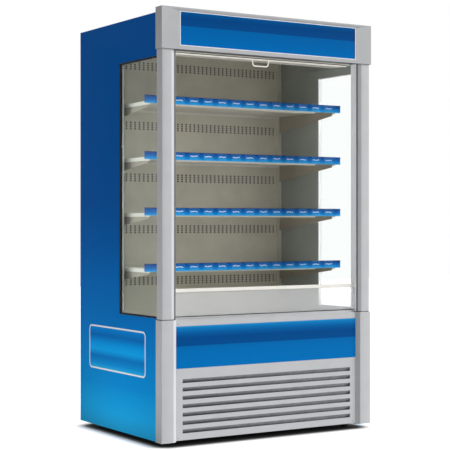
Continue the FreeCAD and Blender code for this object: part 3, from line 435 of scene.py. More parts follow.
def white_coated_steel():
    # White epoxy powder on steel: clean, a little warm, satin.
    return surface("white_epoxy_coated_steel", "#F1EEE6", (60, 0.012), (60, 0.32, 0.46), (2, 0.03),
                   IOR=1.5)


def white_coat_painted_glow():
    # The same white coat on the blind's bar and handle, with a painted glow that stands for the light of the
    # canopy lamp behind them.
    return surface("epoxy_coated_steel_painted_glow", "#F2EEE4", (60, 0.012), (60, 0.32, 0.46), glow=0.4,
                   IOR=1.5)


def pale_trim_painted_glow():
    # Extruded rigid PVC with a satin face: pale, with a painted glow in its own colour in place of light
    # through its thickness.
    colour = "#ECEDF0"
    material, tree, shader = new_material("extruded_rigid_pvc_painted_glow", colour, IOR=1.53, Coat_Weight=0.6,
                                          Coat_Roughness=0.25, Emission_Color=srgb(colour),
                                          Emission_Strength=0.2)
    coords = add_node(tree, "TexCoord").outputs["Object"]
    drawn_lines(tree, shader, coords, (1.0, 1.0, 0.02), 1.5, 3.0)
    spread_roughness(tree, shader, coords, 70, 0.38, 0.48)
    return material


def float_glass():
    # Float glass, low iron and coated against mirroring: clear, hardly any reflection.
    return new_material("coated_float_glass", "#FDFFFE", IOR=1.06, Roughness=0.0,
                        Transmission_Weight=1.0)[0]


def hazed_acrylic():
    # Extruded acrylic with a thin white wash: what stands behind it looks paler.
    return surface("washed_acrylic", "#FAFBFB", rough=(40, 0.03, 0.08), IOR=1.2,
                   Transmission_Weight=0.72)


def epdm_rubber():
    # Extruded EPDM and black enamel border: matt, slightly chalky black.
    return surface("epdm_rubber", "#1B1C1E", (40, 0.15), (30, 0.55, 0.75), (1.2, 0.04), IOR=1.52,
                   Specular_IOR_Level=0.06)


def painted_shade_grey():
    # Matt mid grey of painted shade: strips for the shadow gap between column and jamb, the undersides of
    # the header and of the soffit's front, and the bar's upper part.
    return surface("mid_grey_painted_shade", "#6C6D70", (30, 0.04), (30, 0.6, 0.75), IOR=1.5,
                   Specular_IOR_Level=0.2)


def strip_print(name, stops, low, high):
    """Print in bands across the height of whatever strip or card it is on."""
    material, tree, shader = new_material(name, "#0068B2", IOR=1.52, Specular_IOR_Level=0.1)
    places = add_node(tree, "TexCoord").outputs
    share = add_node(tree, "SeparateXYZ", {"Vector": places["Generated"]})
    add_node(tree, "ValToRGB", {"Fac": share.outputs["Z"]}, stops, shader.inputs["Base Color"])
    spread_roughness(tree, shader, places["Object"], 50, low, high)
    return material


def ticket_channel():
    # Extruded PVC over a printed insert: navy at the top, azure and a pale line at the foot.
    return strip_print("dyed_pvc_extrusion", [(0.0, "#4FB6E6"), (0.08, "#1E9ADB"), (0.28, "#0A7AC4"),
                                              (0.55, "#0060B0"), (0.85, "#004A96"), (1.0, "#002E6C")],
                       0.24, 0.34)


def ticket_card():
    # Coated card, offset printed like the insert behind it, a little lighter at its foot.
    return strip_print("offset_printed_card", [(0.0, "#27A4E0"), (0.35, "#0C86CC"), (0.5, "#0A66B4"),
                                               (1.0, "#0B559F")], 0.45, 0.6)


def ticket_edge():
    # The card's cut edge and printed border: pale blue.
    return surface("card_edge", "#4E9BD6", rough=(20, 0.5, 0.6), IOR=1.48, Specular_IOR_Level=0.1)


def white_ink():
    # White ink of the marks on a ticket.
    return surface("white_ink", "#E2EFFB", (12, 0.02), (20, 0.6, 0.7), IOR=1.48)


def opal_diffuser():
    # Opal polycarbonate over an LED strip: an even soft white light.
    return surface("opal_polycarbonate", "#D0CBBE", (25, 0.02), glow=0.15, IOR=1.58, Roughness=0.4)


def black_plastic():
    # Glass-filled polypropylene, injection moulded: charcoal black with a fine spark grain.
    return surface("moulded_polypropylene", "#222325", (20, 0.08), (25, 0.42, 0.55), (0.9, 0.05),
                   IOR=1.49)


def woven_blind():
    # Woven polyester, coated: pale grey with thread lines both ways.
    colour = "#D9D8D2"
    material, tree, shader = new_material("coated_polyester_weave", colour, IOR=1.5, Roughness=0.7,
                                          Sheen_Weight=0.2)
    coords = add_node(tree, "TexCoord").outputs["Object"]
    # Threads are 0.6 mm apart; drawn at 1.6 mm so that they show.  A wave texture has 20 bands per unit.
    threads = [add_node(tree, "TexWave", {"Vector": coords, "Scale": per_mm(1.6) / 20},
                        bands_direction=direction).outputs["Fac"] for direction in ("X", "Z")]
    weave = add_node(tree, "Math", {0: threads[0], 1: threads[1]}, operation="MULTIPLY")
    add_node(tree, "Bump", {"Height": weave.outputs[0], "Distance": 0.2 * MM},
             feeds=shader.inputs["Normal"])
    mottled(tree, shader, coords, colour, 80, 0.02)
    return material


def galvanised_steel():
    # Hot-dip zinc on steel: dull silver broken into spangles about 12 mm across.
    material, tree, shader = new_material("galvanised_steel", "#A9AEB2", Metallic=0.85)
    coords = add_node(tree, "TexCoord").outputs["Object"]
    cells = add_node(tree, "TexVoronoi", {"Vector": coords, "Scale": per_mm(12)})
    axes = add_node(tree, "SeparateColor", {"Color": cells.outputs["Color"]})
    add_node(tree, "ValToRGB", {"Fac": axes.outputs[0]}, [(0.0, "#9DA3A7"), (1.0, "#B4B9BD")],
             shader.inputs["Base Color"])
    add_node(tree, "MapRange", {"Value": axes.outputs[1], "To Min": 0.38, "To Max": 0.56},
             feeds=shader.inputs["Roughness"])
    grainy(tree, shader, coords, 4, 0.02)
    return material


def black_enamel():
    # Stoved black enamel on drawn steel: glossy black with a light orange peel.
    return surface("stoved_black_enamel", "#17181A", (60, 0.1), (40, 0.24, 0.36), (3, 0.05), IOR=1.5,
                   Coat_Weight=0.3)


def mill_aluminium():
    # Rolled aluminium, mill finish: bright grey metal with fine rolling lines.
    material, tree, shader = new_material("rolled_aluminium", "#C6C9CC", Metallic=1.0)
    coords = add_node(tree, "TexCoord").outputs["Object"]
    drawn_lines(tree, shader, coords, (1.0, 0.03, 1.0), 1.2, 2.0)
    spread_roughness(tree, shader, coords, 30, 0.3, 0.42)
    return material


def drawn_copper():
    # Drawn copper tube: warm metal, browned a little where it was brazed and handled.
    return surface("drawn_copper", "#BC7A58", (35, 0.12), (25, 0.24, 0.4), Metallic=1.0)


def zinc_screw():
    # Zinc-plated steel, cold headed: small bright heads.
    return surface("zinc_plated_steel", "#B4B7B8", rough=(4, 0.28, 0.42), Metallic=1.0)


# Each finish's maker and the record's material slot that it belongs to.
FINISHES = {
    "body": (body_coat, "body_grey"), "header": (header_coat, "body_grey"),
    "louvre": (louvre_coat_painted_shade, "body_grey"), "trim": (pale_trim_painted_glow, "body_grey"),
    "film": (side_film, "wrap_blue"), "sign": (sign_acrylic, "sign_blue"),
    "graphic": (graphic_film, "sign_blue"), "liner": (enamelled_liner, "liner_grey"),
    "wall": (shaded_wall_liner, "liner_grey"), "white": (white_coated_steel, "white_trim"),
    "white_painted_glow": (white_coat_painted_glow, "white_trim"), "profile": (profile_coat, "white_trim"),
    "glass": (float_glass, "clear_glass"), "haze": (hazed_acrylic, "clear_glass"),
    "rubber": (epdm_rubber, "black_rubber"), "painted_shade": (painted_shade_grey, "black_rubber"),
    "channel": (ticket_channel, "strip_blue"), "ticket": (ticket_card, "strip_blue"),
    "border": (ticket_edge, "strip_blue"), "price": (white_ink, "strip_blue"),
    "diffuser": (opal_diffuser, "white_plastic"), "plastic": (black_plastic, "black_plastic"),
    "weave": (woven_blind, "blind_cloth"), "zinc": (galvanised_steel, "galvanised"),
    "screw": (zinc_screw, "galvanised"), "enamel": (black_enamel, "dark_metal"),
    "aluminium": (mill_aluminium, "aluminium"), "copper": (drawn_copper, "copper"),
}
made_finishes = {}


def finish(name):
    """The material of that finish, made the first time it is asked for."""
    if name not in made_finishes:
        made_finishes[name] = FINISHES[name][0]()
    return made_finishes[name]


# ---------------------------------------------------------------- forms

def in_mm(*points):
    """Points written in millimetres, in metres."""
    return [tuple(value * MM for value in point) for point in points]


def block(low, high):
    """A box between two corners."""
    points = [(x, y, z) for x in (low[0], high[0]) for y in (low[1], high[1]) for z in (low[2], high[2])]
    return points, [(0, 1, 3, 2), (4, 6, 7, 5), (0, 4, 5, 1), (2, 3, 7, 6), (0, 2, 6, 4), (1, 5, 7, 3)]


def on_axis(axis, along, a, b):
    """The point at that place along an axis; a and b are the other two coordinates in order."""
    return {"X": (along, a, b), "Y": (a, along, b), "Z": (a, b, along)}[axis]


def prism(outline, axis, start, end):
    """A straight bar of one cross-section along an axis."""
    count = len(outline)
    points = [on_axis(axis, place, a, b) for place in (start, end) for a, b in outline]
    faces = [(i, (i + 1) % count, count + (i + 1) % count, count + i) for i in range(count)]
    return points, faces + [list(range(count))[::-1], list(range(count, 2 * count))]


def ring(centre, radius, sides):
    """Points of a circle round a pair of coordinates."""
    turns = [2 * math.pi * i / sides for i in range(sides)]
    return [(centre[0] + radius * math.cos(turn), centre[1] + radius * math.sin(turn)) for turn in turns]


def turned(outline, centre, axis, sides=32):
    """A form turned about an axis through centre, from (radius, place along the axis) points."""
    along_centre = centre["XYZ".index(axis)]
    middle = [value for value, name in zip(centre, "XYZ") if name != axis]
    points = [on_axis(axis, along_centre + along, a, b)
              for radius, along in outline for a, b in ring(middle, radius, sides)]
    faces = [(k * sides + i, k * sides + (i + 1) % sides, (k + 1) * sides + (i + 1) % sides,
              (k + 1) * sides + i) for k in range(len(outline) - 1) for i in range(sides)]
    return points, faces


def rounded_path(path, bend, steps=5):
    """The path with each of its corners turned on an arc."""
    points = [Vector(p) for p in path]
    result = [points[0]]
    for before, corner, after in zip(points, points[1:], points[2:]):
        a, b = (before - corner).normalized(), (after - corner).normalized()
        half = a.angle(b) / 2
        centre = corner + (a + b).normalized() * bend / math.sin(half)
        start, end = corner + a * bend / math.tan(half), corner + b * bend / math.tan(half)
        result += [centre + (start - centre).slerp(end - centre, i / steps) * bend for i in range(steps + 1)]
    return result + [points[-1]]


def folded_outline(path, thickness, bend):
    """Cross-section of folded sheet; the path is its face, and the sheet lies to its left."""
    face = rounded_path(path, bend)
    back = []
    for i, point in enumerate(face):
        before, after = face[max(i - 1, 0)], face[min(i + 1, len(face) - 1)]
        run = (after - before).normalized()
        back.append(point + Vector((-run.y, run.x)) * thickness)
    return [tuple(p) for p in face + back[::-1]]


def punched(across, down, across_holes, down_holes, place):
    """A flat sheet with a grid of holes; place turns its two coordinates into a point."""
    cuts_a = sorted({*across, *[v for hole in across_holes for v in hole]})
    cuts_b = sorted({*down, *[v for hole in down_holes for v in hole]})
    points = [place(a, b) for b in cuts_b for a in cuts_a]
    starts_a, starts_b = {hole[0] for hole in across_holes}, {hole[0] for hole in down_holes}
    faces = []
    for row in range(len(cuts_b) - 1):
        for column in range(len(cuts_a) - 1):
            if not (cuts_a[column] in starts_a and cuts_b[row] in starts_b):
                first = row * len(cuts_a) + column
                faces.append((first, first + 1, first + 1 + len(cuts_a), first + len(cuts_a)))
    return points, faces


def holes_across(reach, pitch, width):
    """Start and end of each hole in an even row, centred on the middle, out to that reach."""
    count = int(reach / pitch)
    return [(i * pitch - width / 2, i * pitch + width / 2) for i in range(-count, count + 1)]


def round_rect(a0, a1, b0, b1, radius, steps=6):
    """Outline of a rectangle with rounded corners."""
    outline = []
    for centre_a, centre_b, start in ((a1 - radius, b1 - radius, 0), (a0 + radius, b1 - radius, 90),
                                      (a0 + radius, b0 + radius, 180), (a1 - radius, b0 + radius, 270)):
        for i in range(steps + 1):
            turn = math.radians(start + 90 * i / steps)
            outline.append((centre_a + radius * math.cos(turn), centre_b + radius * math.sin(turn)))
    return outline


def front_outline(low, high, inset, radius):
    """Rounded outline of a box seen from the front, drawn in by an inset."""
    return round_rect(low.x + inset, high.x - inset, low.z + inset, high.z - inset, radius)


def framed(outer, inner, front, back):
    """A flat frame that faces along Y, between two outlines of as many points."""
    count = len(outer)
    points = [(a, y, b) for y in (front, back) for outline in (outer, inner) for a, b in outline]
    faces = []
    for i in range(count):
        j = (i + 1) % count
        faces += [(i, j, count + j, count + i), (2 * count + i, 3 * count + i, 3 * count + j, 2 * count + j),
                  (i, 2 * count + i, 2 * count + j, j), (count + i, count + j, 3 * count + j, 3 * count + i)]
    return points, faces


def four_corners(centre, across, deep):
    """Places at the corners of a level rectangle round a centre."""
    return [(centre[0] + side * across, centre[1] + end * deep, centre[2])
            for side in (-1, 1) for end in (-1, 1)]


# ---------------------------------------------------------------- pieces

def mesh_from(work, name):
    """The mesh of a bmesh, which is then freed."""
    mesh = bpy.data.meshes.new(name)
    work.to_mesh(mesh)
    work.free()
    return mesh


def closed_mesh(forms, name):
    """A mesh of (points, faces) forms, joined where they meet and with its faces turned outwards."""
    work = bmesh.new()
    for points, faces in forms:
        vertices = [work.verts.new(point) for point in points]
        for face in faces:
            work.faces.new([vertices[i] for i in face])
    bmesh.ops.remove_doubles(work, verts=work.verts, dist=JOIN)
    bmesh.ops.recalc_face_normals(work, faces=work.faces)
    return mesh_from(work, name)


def dressed(data, name, body, finish_name):
    """A piece with that mesh or curve and finish, which rides on its body."""
    piece = bpy.data.objects.new(name, data)
    piece.data.materials.clear()
    piece.data.materials.append(finish(finish_name))
    bpy.context.scene.collection.objects.link(piece)
    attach(piece, body)
    return piece


def smooth_piece(mesh, name, body, finish_name, smooth, edge):
    """A piece whose faces are smooth up to that angle and whose edges are softened by a radius."""
    mesh.shade_smooth()
    mesh.set_sharp_from_angle(angle=math.radians(smooth))
    piece = dressed(mesh, name, body, finish_name)
    if edge:
        soften_edges(piece, edge)
    return piece


def add_piece(name, forms, finish_name, body="cabinet", smooth=SMOOTH, edge=0.0):
    """A mesh piece made of (points, faces) forms."""
    return smooth_piece(closed_mesh(forms, name), name, body, finish_name, smooth, edge)


def softened(node, name, finish_name, radius):
    """A copy of a frame piece with softened edges, which stands for it."""
    work = bmesh.new()
    work.from_mesh(frame["nodes"][node].data)
    bmesh.ops.remove_doubles(work, verts=work.verts, dist=JOIN)
    bmesh.ops.dissolve_limit(work, angle_limit=math.radians(1.5), verts=work.verts, edges=work.edges)
    body = frame["nodes"][node]["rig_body"]
    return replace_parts(smooth_piece(mesh_from(work, name), name, body, finish_name, SMOOTH, radius), node)


def soften_edges(piece, radius, segments=2):
    """Rounds the sharp edges of a piece by that radius."""
    rounding = piece.modifiers.new("rounding", "BEVEL")
    rounding.width = radius
    rounding.segments = segments
    rounding.limit_method = "ANGLE"
    rounding.angle_limit = math.radians(40)
    rounding.harden_normals = True


def thicken(piece, thickness, offset):
    """Gives a sheet its thickness; offset tells to which side, from -1 to 1."""
    sheet = piece.modifiers.new("sheet", "SOLIDIFY")
    sheet.thickness = thickness
    sheet.offset = offset


def punched_sheet(node, name, form, thickness, outward):
    """A perforated liner sheet that stands for a frame piece, its form on the face that looks outward."""
    sheet = add_piece(name, [form], "liner")
    thicken(sheet, thickness, -1 if sheet.data.polygons[0].normal.dot(Vector(outward)) > 0 else 1)
    sheet.data.shade_flat()
    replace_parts(sheet, node)


def split_across(piece, places):
    """Splits the faces of a piece where planes across X meet it, so that two finishes can meet there."""
    work = bmesh.new()
    work.from_mesh(piece.data)
    for place in places:
        everything = work.verts[:] + work.edges[:] + work.faces[:]
        bmesh.ops.bisect_plane(work, geom=everything, plane_co=(place, 0, 0), plane_no=(1, 0, 0))
    work.to_mesh(piece.data)
    work.free()


def refinish(piece, finish_name, test):
    """Gives another finish to the faces whose centre and normal pass a test."""
    piece.data.materials.append(finish(finish_name))
    index = len(piece.data.materials) - 1
    for face in piece.data.polygons:
        if test(face.center, face.normal):
            face.material_index = index


def wire(name, path, radius, bend, finish_name, body="cabinet"):
    """A bent round wire or pipe along a path of corners."""
    curve = bpy.data.curves.new(name, "CURVE")
    curve.dimensions = "3D"
    curve.bevel_depth = radius
    curve.bevel_resolution = 4
    curve.use_fill_caps = True
    line = curve.splines.new("POLY")
    points = rounded_path(path, bend)
    line.points.add(len(points) - 1)
    for target, point in zip(line.points, points):
        target.co = (*point, 1)
    return dressed(curve, name, body, finish_name)


def cut_out(piece, form, finish_name):
    """Cuts a closed form out of a piece, which has one finish afterwards."""
    cutter = bpy.data.objects.new("cutter", closed_mesh([form], "cutter"))
    bpy.context.scene.collection.objects.link(cutter)
    cut = piece.modifiers.new("cut", "BOOLEAN")
    cut.object = cutter
    cut.operation = "DIFFERENCE"
    cut.solver = "EXACT"
    bpy.context.view_layer.update()
    evaluated = piece.evaluated_get(bpy.context.evaluated_depsgraph_get())
    result = bpy.data.meshes.new_from_object(evaluated)
    piece.modifiers.clear()
    piece.data = result
    result.materials.clear()
    result.materials.append(finish(finish_name))
    bpy.data.objects.remove(cutter)


def pivot_of(body):
    """The place of the joint that carries a body."""
    return next(joint["pos_m"] for joint in frame["joints"] if joint["child"] == body)


# ---------------------------------------------------------------- operators

class FRIDGE_OT_stage(bpy.types.Operator):
    """Floor, soft studio light and the camera"""
    bl_idname = "fridge.stage"
    bl_label = "Stage"

    def execute(self, context):
        scene = context.scene
        stage = settings("fridge_stage")
        camera = bpy.data.objects.new("camera", bpy.data.cameras.new("camera"))
        scene.collection.objects.link(camera)
        camera.location = (stage.camera_left, stage.camera_front, stage.camera_height)
        camera.rotation_euler = (math.radians(90), 0, -stage.camera_turn)
        camera.data.lens = stage.lens
        camera.data.shift_x = stage.shift_across
        camera.data.shift_y = stage.shift_up
        scene.camera = camera
        scene.view_settings.view_transform = "Standard"

        floor_mesh = bpy.data.meshes.new("floor")
        reach = stage.floor_reach
        floor_mesh.from_pydata([(-reach, -reach, 0), (reach, -reach, 0), (reach, reach, 0),
                                (-reach, reach, 0)], [], [(0, 1, 2, 3)])
        floor = bpy.data.objects.new("floor", floor_mesh)
        scene.collection.objects.link(floor)
        floor_mesh.materials.append(self.floor_paint())

        scene.world = bpy.data.worlds.new("studio")
        scene.world.use_nodes = True
        tree = scene.world.node_tree
        tree.nodes.clear()
        ambient = add_node(tree, "Background", {"Color": srgb("#FCFCFD"), "Strength": stage.ambient})
        white = add_node(tree, "Background", {"Color": (1, 1, 1, 1), "Strength": 1.0})
        either = add_node(tree, "MixShader", {0: self.seen_rays(tree), 1: ambient.outputs[0],
                                              2: white.outputs[0]})
        add_node(tree, "OutputWorld", {0: either.outputs[0]})

        self.lamp("key", stage.key_turn, stage.key_rise, stage.key_strength, stage.key_spread)
        self.lamp("front", stage.front_turn, stage.front_rise, stage.front_strength, stage.front_spread)
        return {"FINISHED"}

    def lamp(self, name, turn, rise, strength, spread):
        """A broad distant lamp that shines from that direction."""
        light = bpy.data.lights.new(name, "SUN")
        light.energy = strength
        light.angle = spread
        lamp = bpy.data.objects.new(name, light)
        toward = Vector((math.sin(turn) * math.cos(rise), -math.cos(turn) * math.cos(rise), math.sin(rise)))
        lamp.rotation_euler = toward.to_track_quat("Z", "Y").to_euler()
        bpy.context.scene.collection.objects.link(lamp)

    def seen_rays(self, tree):
        """1 for rays that show the background: seen, mirrored or through glass."""
        rays = add_node(tree, "LightPath")
        mirrored = add_node(tree, "Math", {0: rays.outputs["Is Camera Ray"],
                                           1: rays.outputs["Is Glossy Ray"]}, operation="MAXIMUM")
        every = add_node(tree, "Math", {0: mirrored.outputs[0],
                                        1: rays.outputs["Is Transmission Ray"]}, operation="MAXIMUM")
        return every.outputs[0]

    def floor_paint(self):
        # White studio floor: shows white, and keeps the shadow.
        material, tree, shader = new_material("studio_floor", "#EDEDED", Roughness=0.9,
                                              Emission_Color=(1, 1, 1, 1))
        # Rays that see the floor find it white; the glow fades out near the cabinet, which paints a soft
        # shadow around the cabinet's own shadow.
        coords = add_node(tree, "TexCoord").outputs["Object"]
        half_body = (0.5, 0.36, 0.0)
        card_place, card_radius, card_rim = (-1.35, 0.0, 0.0), 0.5, 0.75
        reach = reach_outside(tree, coords, half_body)
        fade = add_node(tree, "MapRange", {"Value": reach, "From Min": 0.075, "From Max": 0.14})
        # A reflector lies on the floor at the cabinet's left and lights its sides from below.
        from_card = add_node(tree, "VectorMath", {0: coords, 1: card_place}, operation="DISTANCE")
        card = add_node(tree, "MapRange", {"Value": from_card.outputs["Value"], "From Min": card_radius,
                                           "From Max": card_rim, "To Min": 1.4, "To Max": 0.0})
        shown = add_node(tree, "Math", {0: self.seen_rays(tree), 1: card.outputs["Result"]},
                         operation="MAXIMUM")
        add_node(tree, "Math", {0: shown.outputs[0], 1: fade.outputs["Result"]}, operation="MULTIPLY",
                 feeds=shader.inputs["Emission Strength"])
        # Painted shadow: the floor's own colour is dark under the cabinet and lightens at its edge, so that
        # light doesn't fill the gap.
        add_node(tree, "MapRange", {"Value": reach, "From Min": 0.05, "From Max": 0.085,
                                    "To Min": 0.02, "To Max": 0.85}, feeds=shader.inputs["Base Color"])
        return material


class FRIDGE_OT_header(bpy.types.Operator):
    """Header box with rounded edges and a window, and the printed sign in it with its bead"""
    bl_idname = "fridge.header"
    bl_label = "Header and sign"

    def execute(self, context):
        low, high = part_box("header_frame")
        sign_low, sign_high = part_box("header_sign")
        lap, bead_width, corner = 6 * MM, 2.5 * MM, 5 * MM
        back_sheet, bead_recess = 2 * MM, 0.4 * MM
        window = front_outline(sign_low, sign_high, lap, corner)
        header = add_piece("header_box", [block(low, high)], "header")
        soften_edges(header, settings("fridge_sheet").header_radius, 4)
        cut_out(header, prism(window, "Y", low.y - MM, high.y - back_sheet), "header")
        header.data.set_sharp_from_angle(angle=math.radians(25))
        # The header's downward faces take painted shade grey.
        refinish(header, "painted_shade", lambda centre, normal: normal.z < -FACING)
        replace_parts(header, "header_frame")
        sheet = prism(front_outline(sign_low, sign_high, 0, corner), "Y", sign_low.y, sign_high.y)
        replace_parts(add_piece("header_sign_sheet", [sheet], "sign"), "header_sign")
        inner = front_outline(sign_low, sign_high, lap + bead_width, corner - MM)
        bead = framed(window, inner, low.y + bead_recess, sign_low.y)
        # The bead's pale trim carries a painted glow.
        add_piece("sign_glazing_bead", [bead], "trim")
        return {"FINISHED"}


class FRIDGE_OT_columns(bpy.types.Operator):
    """Folded columns, the seam between them, the trims of the jambs, and grey strips of painted shadow
    beside them
    """
    bl_idname = "fridge.columns"
    bl_label = "Columns and jambs"

    def execute(self, context):
        self.pair("upper", 47 * MM, 22 * MM, 8 * MM)
        self.pair("lower", 61 * MM, 20 * MM, 13 * MM)
        # The jamb trims carry the pale trim's painted glow.
        softened("jamb_trims", "jamb_trim_strips", "trim", 1.2 * MM)
        low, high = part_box("upper_column_right")
        # A grey strip at each column's inner edge paints the shadow gap between column and jamb.
        lip = in_mm((-3, 8.9), (-3, 6.8), (3.6, 4.7), (4.4, 6.4), (0, 8))
        painted_shade = [(low.x + x, low.y + y) for x, y in lip]
        seals = [prism([(sign * x, y) for x, y in painted_shade], "Z", low.z, high.z) for _, sign in SIDES]
        add_piece("jamb_shadow_strips", seals, "painted_shade")
        return {"FINISHED"}

    def pair(self, level, face, bevel, deep):
        """The columns of both sides: a flat face, a bevel of that width and depth, and the jamb."""
        sheet = settings("fridge_sheet")
        for side, sign in SIDES:
            node = f"{level}_column_{side}"
            low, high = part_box(node)
            outer = max(abs(low.x), abs(high.x))
            flat = outer - face
            inner = flat - bevel
            path = [(outer, high.y), (outer, low.y), (flat, low.y), (inner, low.y + deep), (inner, high.y)]
            fold = folded_outline(path, -sheet.sheet, sheet.fold_radius)
            column = prism([(sign * x, y) for x, y in fold], "Z", low.z, high.z)
            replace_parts(add_piece(node + "_fold", [column], "body", smooth=25), node)
            if level == "upper":
                left, right = sorted((sign * inner, sign * outer))
                recess, height = 2.5 * MM, 3 * MM
                seam = block((left + MM, low.y + recess, low.z - height), (right - MM, high.y, low.z))
                add_piece(f"column_seam_{side}", [seam], "rubber")


class FRIDGE_OT_side_walls(bpy.types.Operator):
    """Insulated side walls in printed film, with their double glazing"""
    bl_idname = "fridge.side_walls"
    bl_label = "Side walls and windows"

    def execute(self, context):
        for side, sign in SIDES:
            node = f"side_wall_{side}"
            low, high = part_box(node)
            skin = max(abs(low.x), abs(high.x)) - MM
            # The wall's liner faces take the liner grey darkened by painted shade.
            wall = softened(node, f"{node}_panel", "wall", 1.2 * MM)
            refinish(wall, "film", lambda centre, normal: abs(centre.x) > skin and normal.x * sign > FACING)
            refinish(wall, "body", lambda centre, normal: abs(centre.x) <= skin
                     and (normal.y > FACING and centre.y > high.y - MM or abs(normal.z) > FACING
                          and (centre.z > high.z - MM or centre.z < low.z + MM)))
            softened(f"side_glass_{side}", f"side_glass_panes_{side}", "glass", 0.4 * MM)
        seals = softened("window_gaskets", "window_edge_seals", "rubber", 0.8 * MM)
        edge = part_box("window_gaskets")[1].x - settings("fridge_sheet").seal_border
        split_across(seals, (-edge, edge))
        # The gaskets' reveal faces take that painted shade grey of the wall liner, and their edge faces the
        # pale trim with its painted glow.
        refinish(seals, "wall", lambda centre, normal: abs(normal.x) < 0.1 and abs(centre.x) < edge)
        refinish(seals, "trim", lambda centre, normal: normal.x * centre.x < -FACING * abs(centre.x)
                 or centre.x > 0 and normal.y < -FACING)
        return {"FINISHED"}


class FRIDGE_OT_roof_and_back(bpy.types.Operator):
    """Insulated roof and back"""
    bl_idname = "fridge.roof_and_back"
    bl_label = "Roof and back"

    def execute(self, context):
        softened("roof_panel", "roof_skin", "zinc", 1.0 * MM)
        back = softened("back_panel", "back_skin", "liner", 1.0 * MM)
        refinish(back, "zinc", lambda centre, normal: normal.y > FACING)
        # The back's face toward the rear duct is black: painted shade for the depth of the duct seen through
        # the air holes.
        refinish(back, "rubber", lambda centre, normal: normal.y < -FACING)
        return {"FINISHED"}


class FRIDGE_OT_canopy(bpy.types.Operator):
    """Soffit, ceiling and the honeycomb of the air curtain"""
    bl_idname = "fridge.canopy"
    bl_label = "Canopy"

    def execute(self, context):
        soffit = softened("canopy_soffit", "soffit_sheet", "liner", 0.6 * MM)
        bar_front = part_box("blind_bar")[0].y
        # The soffit's underside in front of the bar takes painted shade grey.
        refinish(soffit, "painted_shade", lambda centre, normal: normal.z < -FACING and centre.y < bar_front)
        softened("ceiling_panel", "ceiling_sheet", "liner", 0.5 * MM)
        low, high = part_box("air_discharge_honeycomb")
        rim = 2 * MM
        sides = [block(low, (high.x, low.y + rim, high.z)), block((low.x, high.y - rim, low.z), high),
                 block((low.x, low.y + rim, low.z), (low.x + rim, high.y - rim, high.z)),
                 block((high.x - rim, low.y + rim, low.z), (high.x, high.y - rim, high.z))]
        comb = add_piece("air_curtain_honeycomb", self.cells(low, high, rim) + sides, "white")
        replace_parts(comb, "air_discharge_honeycomb")
        return {"FINISHED"}

    def cells(self, low, high, rim):
        """Three walls of each six-sided cell; its neighbours give the others."""
        cell = 12 * MM
        radius, row_step = cell / math.sqrt(3), cell * math.sqrt(3) / 2
        bottom, top = low.z + MM, high.z - MM
        walls = []
        for row in range(int((high.y - low.y - 2 * rim) / row_step)):
            for column in range(int((high.x - low.x - 2 * rim) / cell) - 1):
                x = low.x + rim + cell * (column + 0.75 + 0.5 * (row % 2))
                y = low.y + rim + row_step * (row + 0.6)
                turns = [math.radians(60 * k) for k in range(4)]
                corners = [(x + radius * math.sin(turn), y + radius * math.cos(turn)) for turn in turns]
                walls += [([(*a, bottom), (*b, bottom), (*b, top), (*a, top)], [(0, 1, 2, 3)])
                          for a, b in zip(corners, corners[1:])]
        return walls


class FRIDGE_OT_rear_air_panel(bpy.types.Operator):
    """Perforated sheet in front of the rear duct"""
    bl_idname = "fridge.rear_air_panel"
    bl_label = "Rear air panel"

    def execute(self, context):
        inside = settings("fridge_interior")
        low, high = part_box("rear_air_panel")
        margin, below_top, below_shelf = 20 * MM, 56 * MM, 60 * MM
        across = holes_across(high.x - margin, inside.perforation_pitch, inside.perforation_width)
        shelf_faces = [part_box(f"shelf_{n}")[1].z - inside.shelf_stop for n in SHELVES]
        tops = [high.z - below_top] + [face - below_shelf for face in shelf_faces]
        ends = [top - row * inside.perforation_step
                for top in tops for row in range(inside.perforation_rows)]
        down = [(end - inside.perforation_height, end) for end in ends]
        form = punched((low.x, high.x), (low.z, high.z), across, down, lambda a, b: (a, low.y, b))
        punched_sheet("rear_air_panel", "perforated_air_panel", form, high.y - low.y, (0, -1, 0))
        softened("shelf_uprights", "slotted_uprights", "liner", 0.4 * MM)
        return {"FINISHED"}


class FRIDGE_OT_shelves(bpy.types.Operator):
    """Shelf pans and the tapered brackets that carry them"""
    bl_idname = "fridge.shelves"
    bl_label = "Shelves and brackets"

    def execute(self, context):
        for n in SHELVES:
            softened(f"shelf_{n}", f"shelf_pan_{n}", "white", 0.5 * MM)
        softened("shelf_brackets", "shelf_bracket_arms", "profile", 0.8 * MM)
        return {"FINISHED"}


